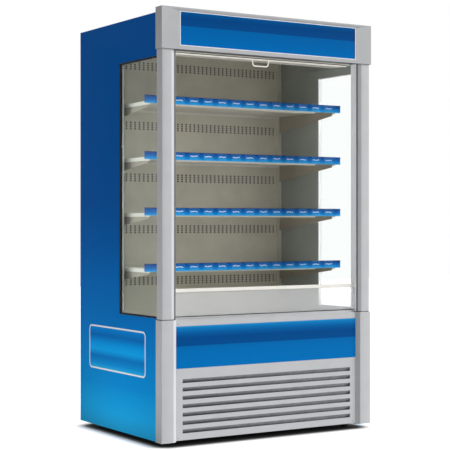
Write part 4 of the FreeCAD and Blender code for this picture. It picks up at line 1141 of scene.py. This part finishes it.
class FRIDGE_OT_price_strips(bpy.types.Operator):
    """Ticket channels on the shelf fronts, with their cards"""
    bl_idname = "fridge.price_strips"
    bl_label = "Price strips"

    def execute(self, context):
        for n in SHELVES:
            softened(f"price_strip_{n}", f"ticket_channel_{n}", "channel", 0.6 * MM)
            self.tickets(n)
        return {"FINISHED"}

    def tickets(self, n):
        """The row of cards in the channel of a shelf, with their thin borders and their marks."""
        inside = settings("fridge_interior")
        low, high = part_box(f"price_strip_{n}")
        face, half, margin = low.y + 1.6 * MM, inside.ticket_width / 2, 3.6 * MM
        card, line, line_depth = 0.5 * MM, 1 * MM, 0.15 * MM
        z0, z1 = low.z + margin, high.z - margin
        mark_foot = z0 + 0.47 * (z1 - z0)
        count = int((high.x - low.x - 2 * inside.ticket_width) / inside.ticket_pitch)
        places = [(i - count / 2) * inside.ticket_pitch + inside.ticket_shift for i in range(count + 1)]
        cards, borders, marks = [], [], []
        for i, x in enumerate(places):
            cards.append(block((x - half, face, z0), (x + half, face + card, z1)))
            outer = round_rect(x - half, x + half, z0, z1, 2 * line, 2)
            inner = round_rect(x - half + line, x + half - line, z0 + line, z1 - line, line, 2)
            borders.append(framed(outer, inner, face - line_depth, face))
            marks += self.marks(x, mark_foot, face, n + i)
        add_piece(f"price_tickets_{n}", cards, "ticket")
        add_piece(f"price_borders_{n}", borders, "border")
        add_piece(f"price_marks_{n}", marks, "price")

    def marks(self, x, z, face, seed):
        """A row of plain upright marks in place of words."""
        forms = []
        count, step, width, deep = 9, 4.2 * MM, 2.9 * MM, 0.3 * MM
        for k in range(count):
            tall = (3.2 + 2.6 * math.sin(1.7 * k + seed) ** 2) * MM
            left = x + (k - count / 2) * step
            foot = z + 0.9 * MM * math.sin(0.9 * k + 2 * seed)
            forms.append(block((left, face - deep, foot), (left + width, face, foot + tall)))
        return forms


class FRIDGE_OT_lamps(bpy.types.Operator):
    """Lamp profiles with opal diffusers under the shelves, ceiling and in the header"""
    bl_idname = "fridge.lamps"
    bl_label = "Lamps"

    def execute(self, context):
        underside = 23.5 * MM
        tops = [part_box(f"shelf_{n}")[1].z - underside for n in SHELVES] + [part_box("ceiling_panel")[0].z]
        starts = [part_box("shelf_1")[0].y + 8 * MM] * len(SHELVES)
        starts.append(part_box("canopy_soffit")[1].y + 4 * MM)
        half, cap = 410 * MM, 6 * MM
        width, step, drop, inset, tube = 30 * MM, 8 * MM, 18 * MM, 4 * MM, 9 * MM
        housings, diffusers, caps = [], [], []
        for top, start in zip(tops, starts):
            end, shoulder, lip = start + width, top - step, top - step - 0.4 * inset
            housing = [(start, top), (start, shoulder), (start + inset, lip), (end - inset, lip),
                       (end, shoulder), (end, top)]
            housings.append(prism(housing, "X", -half, half))
            middle, bulge = start + width / 2 - inset / 2, drop - step - inset * 0.4
            turns = [math.pi * (1 + k / 10) for k in range(11)]
            glow = [(middle + tube * math.cos(turn), lip + bulge * math.sin(turn)) for turn in turns]
            diffusers.append(prism(glow, "X", cap - half, half - cap))
            for left, right in ((-half, cap - half), (half - cap, half)):
                caps.append(block((left, start + inset, top - drop), (right, end - 2 * inset, shoulder)))
        low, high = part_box("header_frame")
        back, middle, reach = high.y - 2 * MM, (low.z + high.z) / 2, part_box("header_sign")[1].x - cap
        strip, half_tray = 8 * MM, 30 * MM
        tray = back - strip
        housings.append(block((-reach, tray, middle - half_tray), (reach, back, middle + half_tray)))
        for z in (middle - half_tray / 2, middle + half_tray / 2):
            diffusers.append(block((-reach, tray - strip, z - strip), (reach, tray, z + strip)))
        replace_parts(add_piece("lamp_housings", housings + caps, "profile", edge=0.5 * MM), "lamps")
        add_piece("lamp_diffusers", diffusers, "diffuser", smooth=40)
        return {"FINISHED"}


class FRIDGE_OT_kick_plate(bpy.types.Operator):
    """Louvred kick plate with its printed panel"""
    bl_idname = "fridge.kick_plate"
    bl_label = "Kick plate"

    def execute(self, context):
        plate = softened("kick_plate", "louvred_kick_plate", "body", 0.5 * MM)
        low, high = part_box("kick_plate")
        louvre_reach, louvre_top = 400 * MM, 298 * MM
        # The faces behind the front face, in the slots, take the louvre grey of painted shade.
        refinish(plate, "louvre", lambda centre, normal: centre.y > low.y + 2 * MM
                 and abs(centre.x) < louvre_reach)
        softened("kick_graphic_panel", "kick_print", "graphic", 0.4 * MM)
        r = settings("fridge_sheet").screw_radius
        dome = [(0.0, -0.30 * r), (0.30 * r, -0.30 * r), (0.34 * r, -0.46 * r), (0.62 * r, -0.38 * r),
                (0.88 * r, -0.2 * r), (r, 0.0)]
        inset, foot_inset = 14 * MM, 12 * MM
        heads = [turned(dome, (x, low.y, z), "Y", 16) for x in (low.x + inset, high.x - inset)
                 for z in (low.z + foot_inset, high.z - inset)]
        add_piece("kick_plate_screws", heads, "screw")
        # A thin grey sheet behind the louvres is painted shade: it gives their slots an even grey.
        front, thick, gap = high.y + 12 * MM, 0.5 * MM, 2 * MM
        screen = block((low.x + gap, front, low.z), (high.x - gap, front + thick, louvre_top))
        add_piece("louvre_shade_screen", [screen], "louvre")
        return {"FINISHED"}


class FRIDGE_OT_riser(bpy.types.Operator):
    """Front ledge with the glass riser and its top rail"""
    bl_idname = "fridge.riser"
    bl_label = "Ledge and riser"

    def execute(self, context):
        softened("front_ledge", "front_ledge_fold", "body", 0.5 * MM)
        softened("riser_glass", "riser_pane", "haze", 0.5 * MM)
        softened("riser_top_rail", "riser_rail", "white", 0.6 * MM)
        low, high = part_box("riser_glass")
        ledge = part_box("front_ledge")[1]
        deep, tall = 3 * MM, 3.5 * MM
        beads = [block((-ledge.x, y, ledge.z), (ledge.x, y + deep, ledge.z + tall))
                 for y in (low.y - deep, high.y)]
        add_piece("riser_glazing_seal", beads, "rubber", edge=1.0 * MM)
        return {"FINISHED"}


class FRIDGE_OT_tub(bpy.types.Operator):
    """Tub, return air grille and the lift-out deck"""
    bl_idname = "fridge.tub"
    bl_label = "Tub and deck"

    def execute(self, context):
        softened("tub", "insulated_tub", "liner", 1.0 * MM)
        softened("deck_pan", "deck_sheet", "liner", 0.5 * MM)
        low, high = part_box("return_air_grille")
        rim, pitch, slot = 12 * MM, 13 * MM, 7 * MM
        form = punched((low.x, high.x), (low.y, high.y), holes_across(high.x - rim, pitch, slot),
                       [(low.y + rim, high.y - rim)], lambda a, b: (a, b, high.z))
        punched_sheet("return_air_grille", "slotted_air_grille", form, high.z - low.z, (0, 0, 1))
        return {"FINISHED"}


class FRIDGE_OT_base(bpy.types.Operator):
    """Welded base frame and its levelling feet"""
    bl_idname = "fridge.base"
    bl_label = "Base and feet"

    def execute(self, context):
        softened("base_frame", "base_rails", "enamel", 1.5 * MM)
        pad = in_mm((0, 0), (19, 0), (22.4, 1), (23, 3), (22, 5), (12, 8), (8, 9), (0, 9))
        ridges = [point for turn in range(9) for point in ((4.3, 9 + turn), (5.0, 9.5 + turn))]
        stud = in_mm((0, 8.9), *ridges, (0, 18))
        nut = in_mm((0, 17), (8, 17), (9, 17.6), (9, 21.4), (8, 22), (0, 22))
        places = four_corners((0, 0, 0), 505 * MM, 322.5 * MM)
        pads, studs, nuts = [[turned(outline, place, "Z", sides) for place in places]
                             for outline, sides in ((pad, 40), (stud, 20), (nut, 6))]
        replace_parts(add_piece("foot_pads", pads, "plastic"), "levelling_feet")
        add_piece("foot_studs", studs + nuts, "screw", smooth=30)
        return {"FINISHED"}


class FRIDGE_OT_night_blind(bpy.types.Operator):
    """Night blind: bar, wire handle, wound and hanging cloth, roller and brackets"""
    bl_idname = "fridge.night_blind"
    bl_label = "Night blind"

    def execute(self, context):
        blind = settings("fridge_blind")
        low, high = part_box("blind_bar")
        # The bar's upper part takes painted shade grey; its lower part and underside take the white coat
        # with its painted glow.
        lip = low.z + 4.5 * MM
        forms = [block((low.x, low.y, lip), high), block(low, (high.x, high.y, lip))]
        bar = add_piece("blind_pull_bar", forms, "painted_shade", "night_blind")
        refinish(bar, "white_painted_glow", lambda centre, normal: centre.z < lip and abs(normal.z) < FACING
                 or centre.z < low.z + MM)
        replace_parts(bar, "blind_bar")
        low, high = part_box("blind_handle")
        y, foot, top = (low.y + high.y) / 2, low.z + blind.wire_radius, high.z + 3 * MM
        narrow, wide = 40 * MM, 47.5 * MM
        path = [(-wide, y, top), (-narrow, y, foot), (narrow, y, foot), (wide, y, top)]
        # The handle's white coat carries a painted glow.
        handle = wire("blind_wire_handle", path, blind.wire_radius, blind.wire_bend, "white_painted_glow",
                      "night_blind")
        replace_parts(handle, "blind_handle")
        low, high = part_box("blind_cloth")
        self.roll(blind, high.x, high.z)
        self.free_run(low, high)
        softened("blind_brackets", "blind_bearing_plates", "zinc", 0.5 * MM)
        return {"FINISHED"}

    def roll(self, blind, half, axis_z):
        """Cloth wound on its tube, and the tube with the pins that turn in the brackets."""
        low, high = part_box("blind_roller")
        centre, outer = (0, (low.y + high.y) / 2, axis_z), (high.y - low.y) / 2
        turns = blind.wound_length / (math.pi * (outer + blind.core_radius))
        steps_per_turn, clearance = 28, 0.2 * MM
        steps = int(turns * steps_per_turn)
        points = []
        for i in range(steps + 1):
            share = i / steps
            radius = outer - clearance - (outer - blind.core_radius) * share
            turn = math.pi + 2 * math.pi * turns * share
            points += [(x, centre[1] + radius * math.cos(turn), axis_z + radius * math.sin(turn))
                       for x in (-half, half)]
        faces = [(i, i + 1, i + 3, i + 2) for i in range(0, 2 * steps, 2)]
        roll = add_piece("blind_cloth_roll", [(points, faces)], "weave", "roller", 60)
        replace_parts(roll, "blind_roller")
        end, tube = half + 4 * MM, blind.core_radius - MM
        core = [(0, -end), (tube, -end), (tube, end), (0, end)]
        tip, pin_radius = 3.6 * MM, 4 * MM
        pin = [(0, low.x), (tip, low.x), (pin_radius, low.x + MM), (pin_radius, high.x - MM),
               (tip, high.x), (0, high.x)]
        add_piece("blind_roller_tube", [turned(core, centre, "X", 36), turned(pin, centre, "X", 20)],
                  "aluminium", "roller")

    def free_run(self, low, high):
        """Cloth between the roller and the bar, which the pull of the bar stretches."""
        rows, plane = 40, (low.y + high.y) / 2
        points = [(x, plane, low.z + (high.z - low.z) * r / rows)
                  for r in range(rows + 1) for x in (-high.x, 0, high.x)]
        faces = [(i, i + 1, i + 4, i + 3) for r in range(rows) for i in (3 * r, 3 * r + 1)]
        run = add_piece("blind_cloth_run", [(points, faces)], "weave")
        run.parent = None
        del run["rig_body"]
        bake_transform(run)
        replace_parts(run, "blind_cloth")


class FRIDGE_OT_fans(bpy.types.Operator):
    """Evaporator and condenser fans with their motors and the partition"""
    bl_idname = "fridge.fans"
    bl_label = "Fans"

    def execute(self, context):
        softened("fan_partition", "fan_partition_sheet", "zinc", 0.4 * MM)
        softened("fan_motors", "fan_motor_bodies", "enamel", 1.0 * MM)
        self.fan("evaporator_fan_left", "left_evaporator_fan", 19 * MM, 20 * MM)
        self.fan("evaporator_fan_right", "right_evaporator_fan", 19 * MM, 20 * MM)
        self.fan("condenser_fan", "condenser_fan_rotor", 26 * MM, 36 * MM)
        return {"FINISHED"}

    def fan(self, node, body, hub, deep):
        """A rotor with a hub of that radius and depth, and its shaft."""
        low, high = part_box(node)
        centre = pivot_of(body)
        rotor = add_piece(node + "_rotor", self.blades(centre, (high.z - low.z) / 2, hub, deep),
                          "plastic", body, 50)
        thicken(rotor, 1.4 * MM, 0)
        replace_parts(rotor, node)
        back, radius = low.y - centre[1], 3 * MM
        shaft = turned([(0, back), (radius, back), (radius, 0), (0, 0)], centre, "Y", 16)
        add_piece(node + "_shaft", [shaft], "screw", body)

    def blades(self, centre, radius, hub, deep):
        """Hub and twisted, cambered blades of an axial fan that turns about Y."""
        forms = [turned([(0, -deep / 2), (hub * 0.85, -deep / 2), (hub, -deep / 2 + hub * 0.15),
                         (hub, deep / 2), (0, deep / 2)], centre, "Y")]
        stations, across, count = 9, 7, settings("fridge_machine").blade_count
        faces = [(s * across + c, s * across + c + 1, (s + 1) * across + c + 1, (s + 1) * across + c)
                 for s in range(stations - 1) for c in range(across - 1)]
        for blade in range(count):
            points = []
            for share in [s / (stations - 1) for s in range(stations)]:
                r = hub * 0.9 + (radius - hub * 0.9) * share
                spread = 0.62 + 0.30 * share - 0.25 * max(0.0, share - 0.8)
                pitch = deep * (0.48 - 0.12 * share)
                for t in [c / (across - 1) - 0.5 for c in range(across)]:
                    turn = 2 * math.pi * blade / count + t * spread + 0.22 * share * share
                    lift = pitch * t * 2 + deep * 0.10 * (1 - 4 * t * t)
                    points.append((centre[0] + r * math.cos(turn), centre[1] - lift,
                                   centre[2] + r * math.sin(turn)))
            forms.append((points, faces))
        return forms


class FRIDGE_OT_refrigeration(bpy.types.Operator):
    """Evaporator, condenser, compressor, pipes and trays"""
    bl_idname = "fridge.refrigeration"
    bl_label = "Refrigeration"

    def execute(self, context):
        machine = settings("fridge_machine")
        softened("unit_tray", "unit_tray_sheet", "zinc", 0.5 * MM)
        softened("evaporation_tray", "evaporation_pan", "plastic", 1.0 * MM)
        self.evaporator(machine)
        self.condenser(machine)
        low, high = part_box("compressor")
        x, y, radius = (low.x + high.x) / 2, (low.y + high.y) / 2, 82 * MM
        self.compressor(x, y, radius, low.z, high.z)
        self.pipes(machine, x - radius, x + radius, y)
        return {"FINISHED"}

    def fins(self, low, high, pitch, half):
        """Plates of that half thickness in a row across X, within the two corners of their block."""
        places = [low[0] + i * pitch for i in range(int((high[0] - low[0]) / pitch) + 1)]
        return [block((x - half, low[1], low[2]), (x + half, high[1], high[2])) for x in places]

    def evaporator(self, machine):
        """Finned coil between its end plates, with the tube bends that stand out of them."""
        low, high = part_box("evaporator")
        half, bend_reach, half_rise, bend, tube = 480 * MM, 28 * MM, 30 * MM, 20 * MM, 5 * MM
        fins = self.fins((-half, low.y + MM, low.z + 5 * MM), (half, high.y - MM, high.z - 5 * MM),
                         machine.coil_fin_pitch, 0.15 * MM)
        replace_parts(add_piece("evaporator_fins", fins, "aluminium"), "evaporator")
        plates = [block((x - MM, low.y, low.z), (x + MM, high.y, high.z)) for x in (-half, half)]
        add_piece("evaporator_end_plates", plates, "zinc", edge=0.3 * MM)
        bottom, top = (low.z + high.z) / 2 - half_rise, (low.z + high.z) / 2 + half_rise
        for row in range(4):
            y = low.y + (high.y - low.y) * (row + 0.5) / 4
            for side, sign in SIDES:
                start, out = sign * half, sign * (half + bend_reach)
                path = [(start, y, bottom), (out, y, bottom), (out, y, top), (start, y, top)]
                wire(f"coil_bend_{side}_{row + 1}", path, tube, bend, "copper")

    def condenser(self, machine):
        """Finned core under its hood, with the round opening of the shroud behind it."""
        low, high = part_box("condenser")
        fins = self.fins((low.x + 3 * MM, low.y + 2 * MM, low.z + 2 * MM),
                         (high.x - 3 * MM, low.y + 60 * MM, high.z - 3 * MM),
                         machine.condenser_fin_pitch, 0.12 * MM)
        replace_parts(add_piece("condenser_fins", fins, "aluminium"), "condenser")
        sheet, opening, through = 1.5 * MM, 104 * MM, 10 * MM
        fan = pivot_of("condenser_fan_rotor")
        rear = high.y - sheet
        plate = prism(front_outline(low, high, 0, 2 * MM), "Y", rear, high.y)
        shroud = add_piece("condenser_shroud", [plate], "zinc")
        hole = ring((fan[0], fan[2]), opening, 56)
        cut_out(shroud, prism(hole, "Y", high.y - through, high.y + through), "zinc")
        sides = [block(low, (low.x + sheet, rear, high.z)),
                 block((high.x - sheet, low.y, low.z), (high.x, rear, high.z)),
                 block((low.x + sheet, low.y, high.z - sheet), (high.x - sheet, rear, high.z))]
        add_piece("condenser_hood", sides, "zinc", edge=0.4 * MM)

    def compressor(self, x, y, r, floor, top):
        """Pot of that radius on its plate and rubber feet, with the terminal cover."""
        base, rise, plate_thick = floor + 15 * MM, 42 * MM, 3 * MM
        wall = [(r * 0.86, 0), (r * 0.96, 6 * MM), (r, 18 * MM), (r, 92 * MM), (r + 2.5 * MM, 94 * MM),
                (r + 2.5 * MM, 99 * MM), (r, 101 * MM)]
        shell = [(0, base)] + [(out, base + z) for out, z in wall] + [(r, top - rise)]
        shell += [(r * math.cos(math.radians(a)), top - rise + rise * math.sin(math.radians(a)))
                  for a in range(10, 91, 10)]
        pot = add_piece("compressor_shell", [turned(shell, (x, y, 0), "Z", 64)], "enamel", smooth=50)
        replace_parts(pot, "compressor")
        plate = round_rect(x - r * 1.1, x + r * 1.1, y - r * 0.8, y + r * 0.8, 12 * MM)
        add_piece("compressor_base", [prism(plate, "Z", base - plate_thick, base)], "enamel", edge=0.5 * MM)
        foot = in_mm((0, 0), (11, 0), (12, 2), (9, 5), (12, 8), (11, 12), (0, 12))
        bolt = in_mm((0, 0), (5, 0), (5, 4), (0, 4))
        feet, bolts = [[turned(outline, place, "Z", sides)
                        for place in four_corners((x, y, height), r * 0.95, r * 0.65)]
                       for outline, height, sides in ((foot, floor, 24), (bolt, base, 6))]
        add_piece("compressor_grommets", feet, "rubber", smooth=40)
        add_piece("compressor_bolts", bolts, "screw")
        cover = round_rect(x - 26 * MM, x + 26 * MM, base + 48 * MM, base + 88 * MM, 6 * MM)
        cover_form = prism(cover, "Y", y + r - 12 * MM, y + r + 14 * MM)
        add_piece("compressor_terminal_cover", [cover_form], "plastic", edge=2.0 * MM)

    def pipes(self, machine, near, far, y):
        """Discharge pipe to the condenser and suction pipe up to the coil, from the pot's two sides."""
        level, bend, clear = 156 * MM, 22 * MM, 66 * MM
        low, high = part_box("condenser")
        knee, entry = (near + high.x) / 2, low.y + 30 * MM
        path = [(near, y, level), (knee, y, level), (knee, entry, level), (high.x, entry, level)]
        discharge = wire("discharge_pipe", path, machine.pipe_radius, bend, "copper")
        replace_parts(discharge, "refrigerant_pipes")
        rise = far + clear
        path = [(far, y, level), (rise, y, level), (rise, y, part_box("refrigerant_pipes")[1].z)]
        wire("suction_pipe", path, machine.pipe_radius, bend, "copper")


class FRIDGE_OT_rear_service(bpy.types.Operator):
    """Rear grille, electrical box, switches and thermostat"""
    bl_idname = "fridge.rear_service"
    bl_label = "Rear service side"

    def execute(self, context):
        softened("rear_grille", "rear_louvre_sheet", "zinc", 0.4 * MM)
        softened("control_box", "electrical_box", "plastic", 0.8 * MM)
        softened("mains_rocker", "mains_switch_paddle", "plastic", 0.8 * MM)
        softened("lamp_rocker", "lamp_switch_paddle", "plastic", 0.8 * MM)
        x, _, z = pivot_of("thermostat")
        skirt, skirt_depth, r, groove, sides = 428.8 * MM, 5.2 * MM, 15 * MM, 0.5 * MM, 72
        # Every third point of the rim lies in a groove.
        grooves, crests = ring((x, z), r - groove, sides), ring((x, z), r, sides)
        rim = [crests[i] if i % 3 else grooves[i] for i in range(sides)]
        half_grip = 3.5 * MM
        grip = round_rect(x - half_grip, x + half_grip, z - r * 0.8, z + r * 0.8, 2 * MM)
        forms = [prism(rim, "Y", skirt, skirt + skirt_depth),
                 prism(grip, "Y", skirt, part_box("thermostat_knob")[1].y)]
        knob = add_piece("thermostat_dial", forms, "plastic", "thermostat", 30, 0.4 * MM)
        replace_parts(knob, "thermostat_knob")
        return {"FINISHED"}


OPERATORS = (FRIDGE_OT_stage, FRIDGE_OT_header, FRIDGE_OT_columns, FRIDGE_OT_side_walls,
             FRIDGE_OT_roof_and_back, FRIDGE_OT_canopy, FRIDGE_OT_rear_air_panel, FRIDGE_OT_shelves,
             FRIDGE_OT_price_strips, FRIDGE_OT_lamps, FRIDGE_OT_kick_plate, FRIDGE_OT_riser,
             FRIDGE_OT_tub, FRIDGE_OT_base, FRIDGE_OT_night_blind, FRIDGE_OT_fans,
             FRIDGE_OT_refrigeration, FRIDGE_OT_rear_service)


class FRIDGE_PT_pieces(bpy.types.Panel):
    """Buttons and sizes of the display fridge"""
    bl_idname = "FRIDGE_PT_pieces"
    bl_label = "Display fridge"
    bl_space_type = "VIEW_3D"
    bl_region_type = "UI"
    bl_category = "Display fridge"

    def draw(self, context):
        for group in SETTINGS:
            box = self.layout.box()
            values = getattr(context.scene, group)
            for name in values.__annotations__:
                box.prop(values, name)
        for operator in OPERATORS:
            self.layout.operator(operator.bl_idname)


CLASSES = (*SETTINGS.values(), *OPERATORS, FRIDGE_PT_pieces)


def register():
    for each in CLASSES:
        bpy.utils.register_class(each)
    for group, kind in SETTINGS.items():
        setattr(bpy.types.Scene, group, PointerProperty(type=kind))


def unregister():
    for group in SETTINGS:
        delattr(bpy.types.Scene, group)
    for each in reversed(CLASSES):
        bpy.utils.unregister_class(each)


def main():
    register()
    for operator in OPERATORS:
        getattr(bpy.ops.fridge, operator.bl_idname.split(".")[1])()


if __name__ == "__main__":
    main()
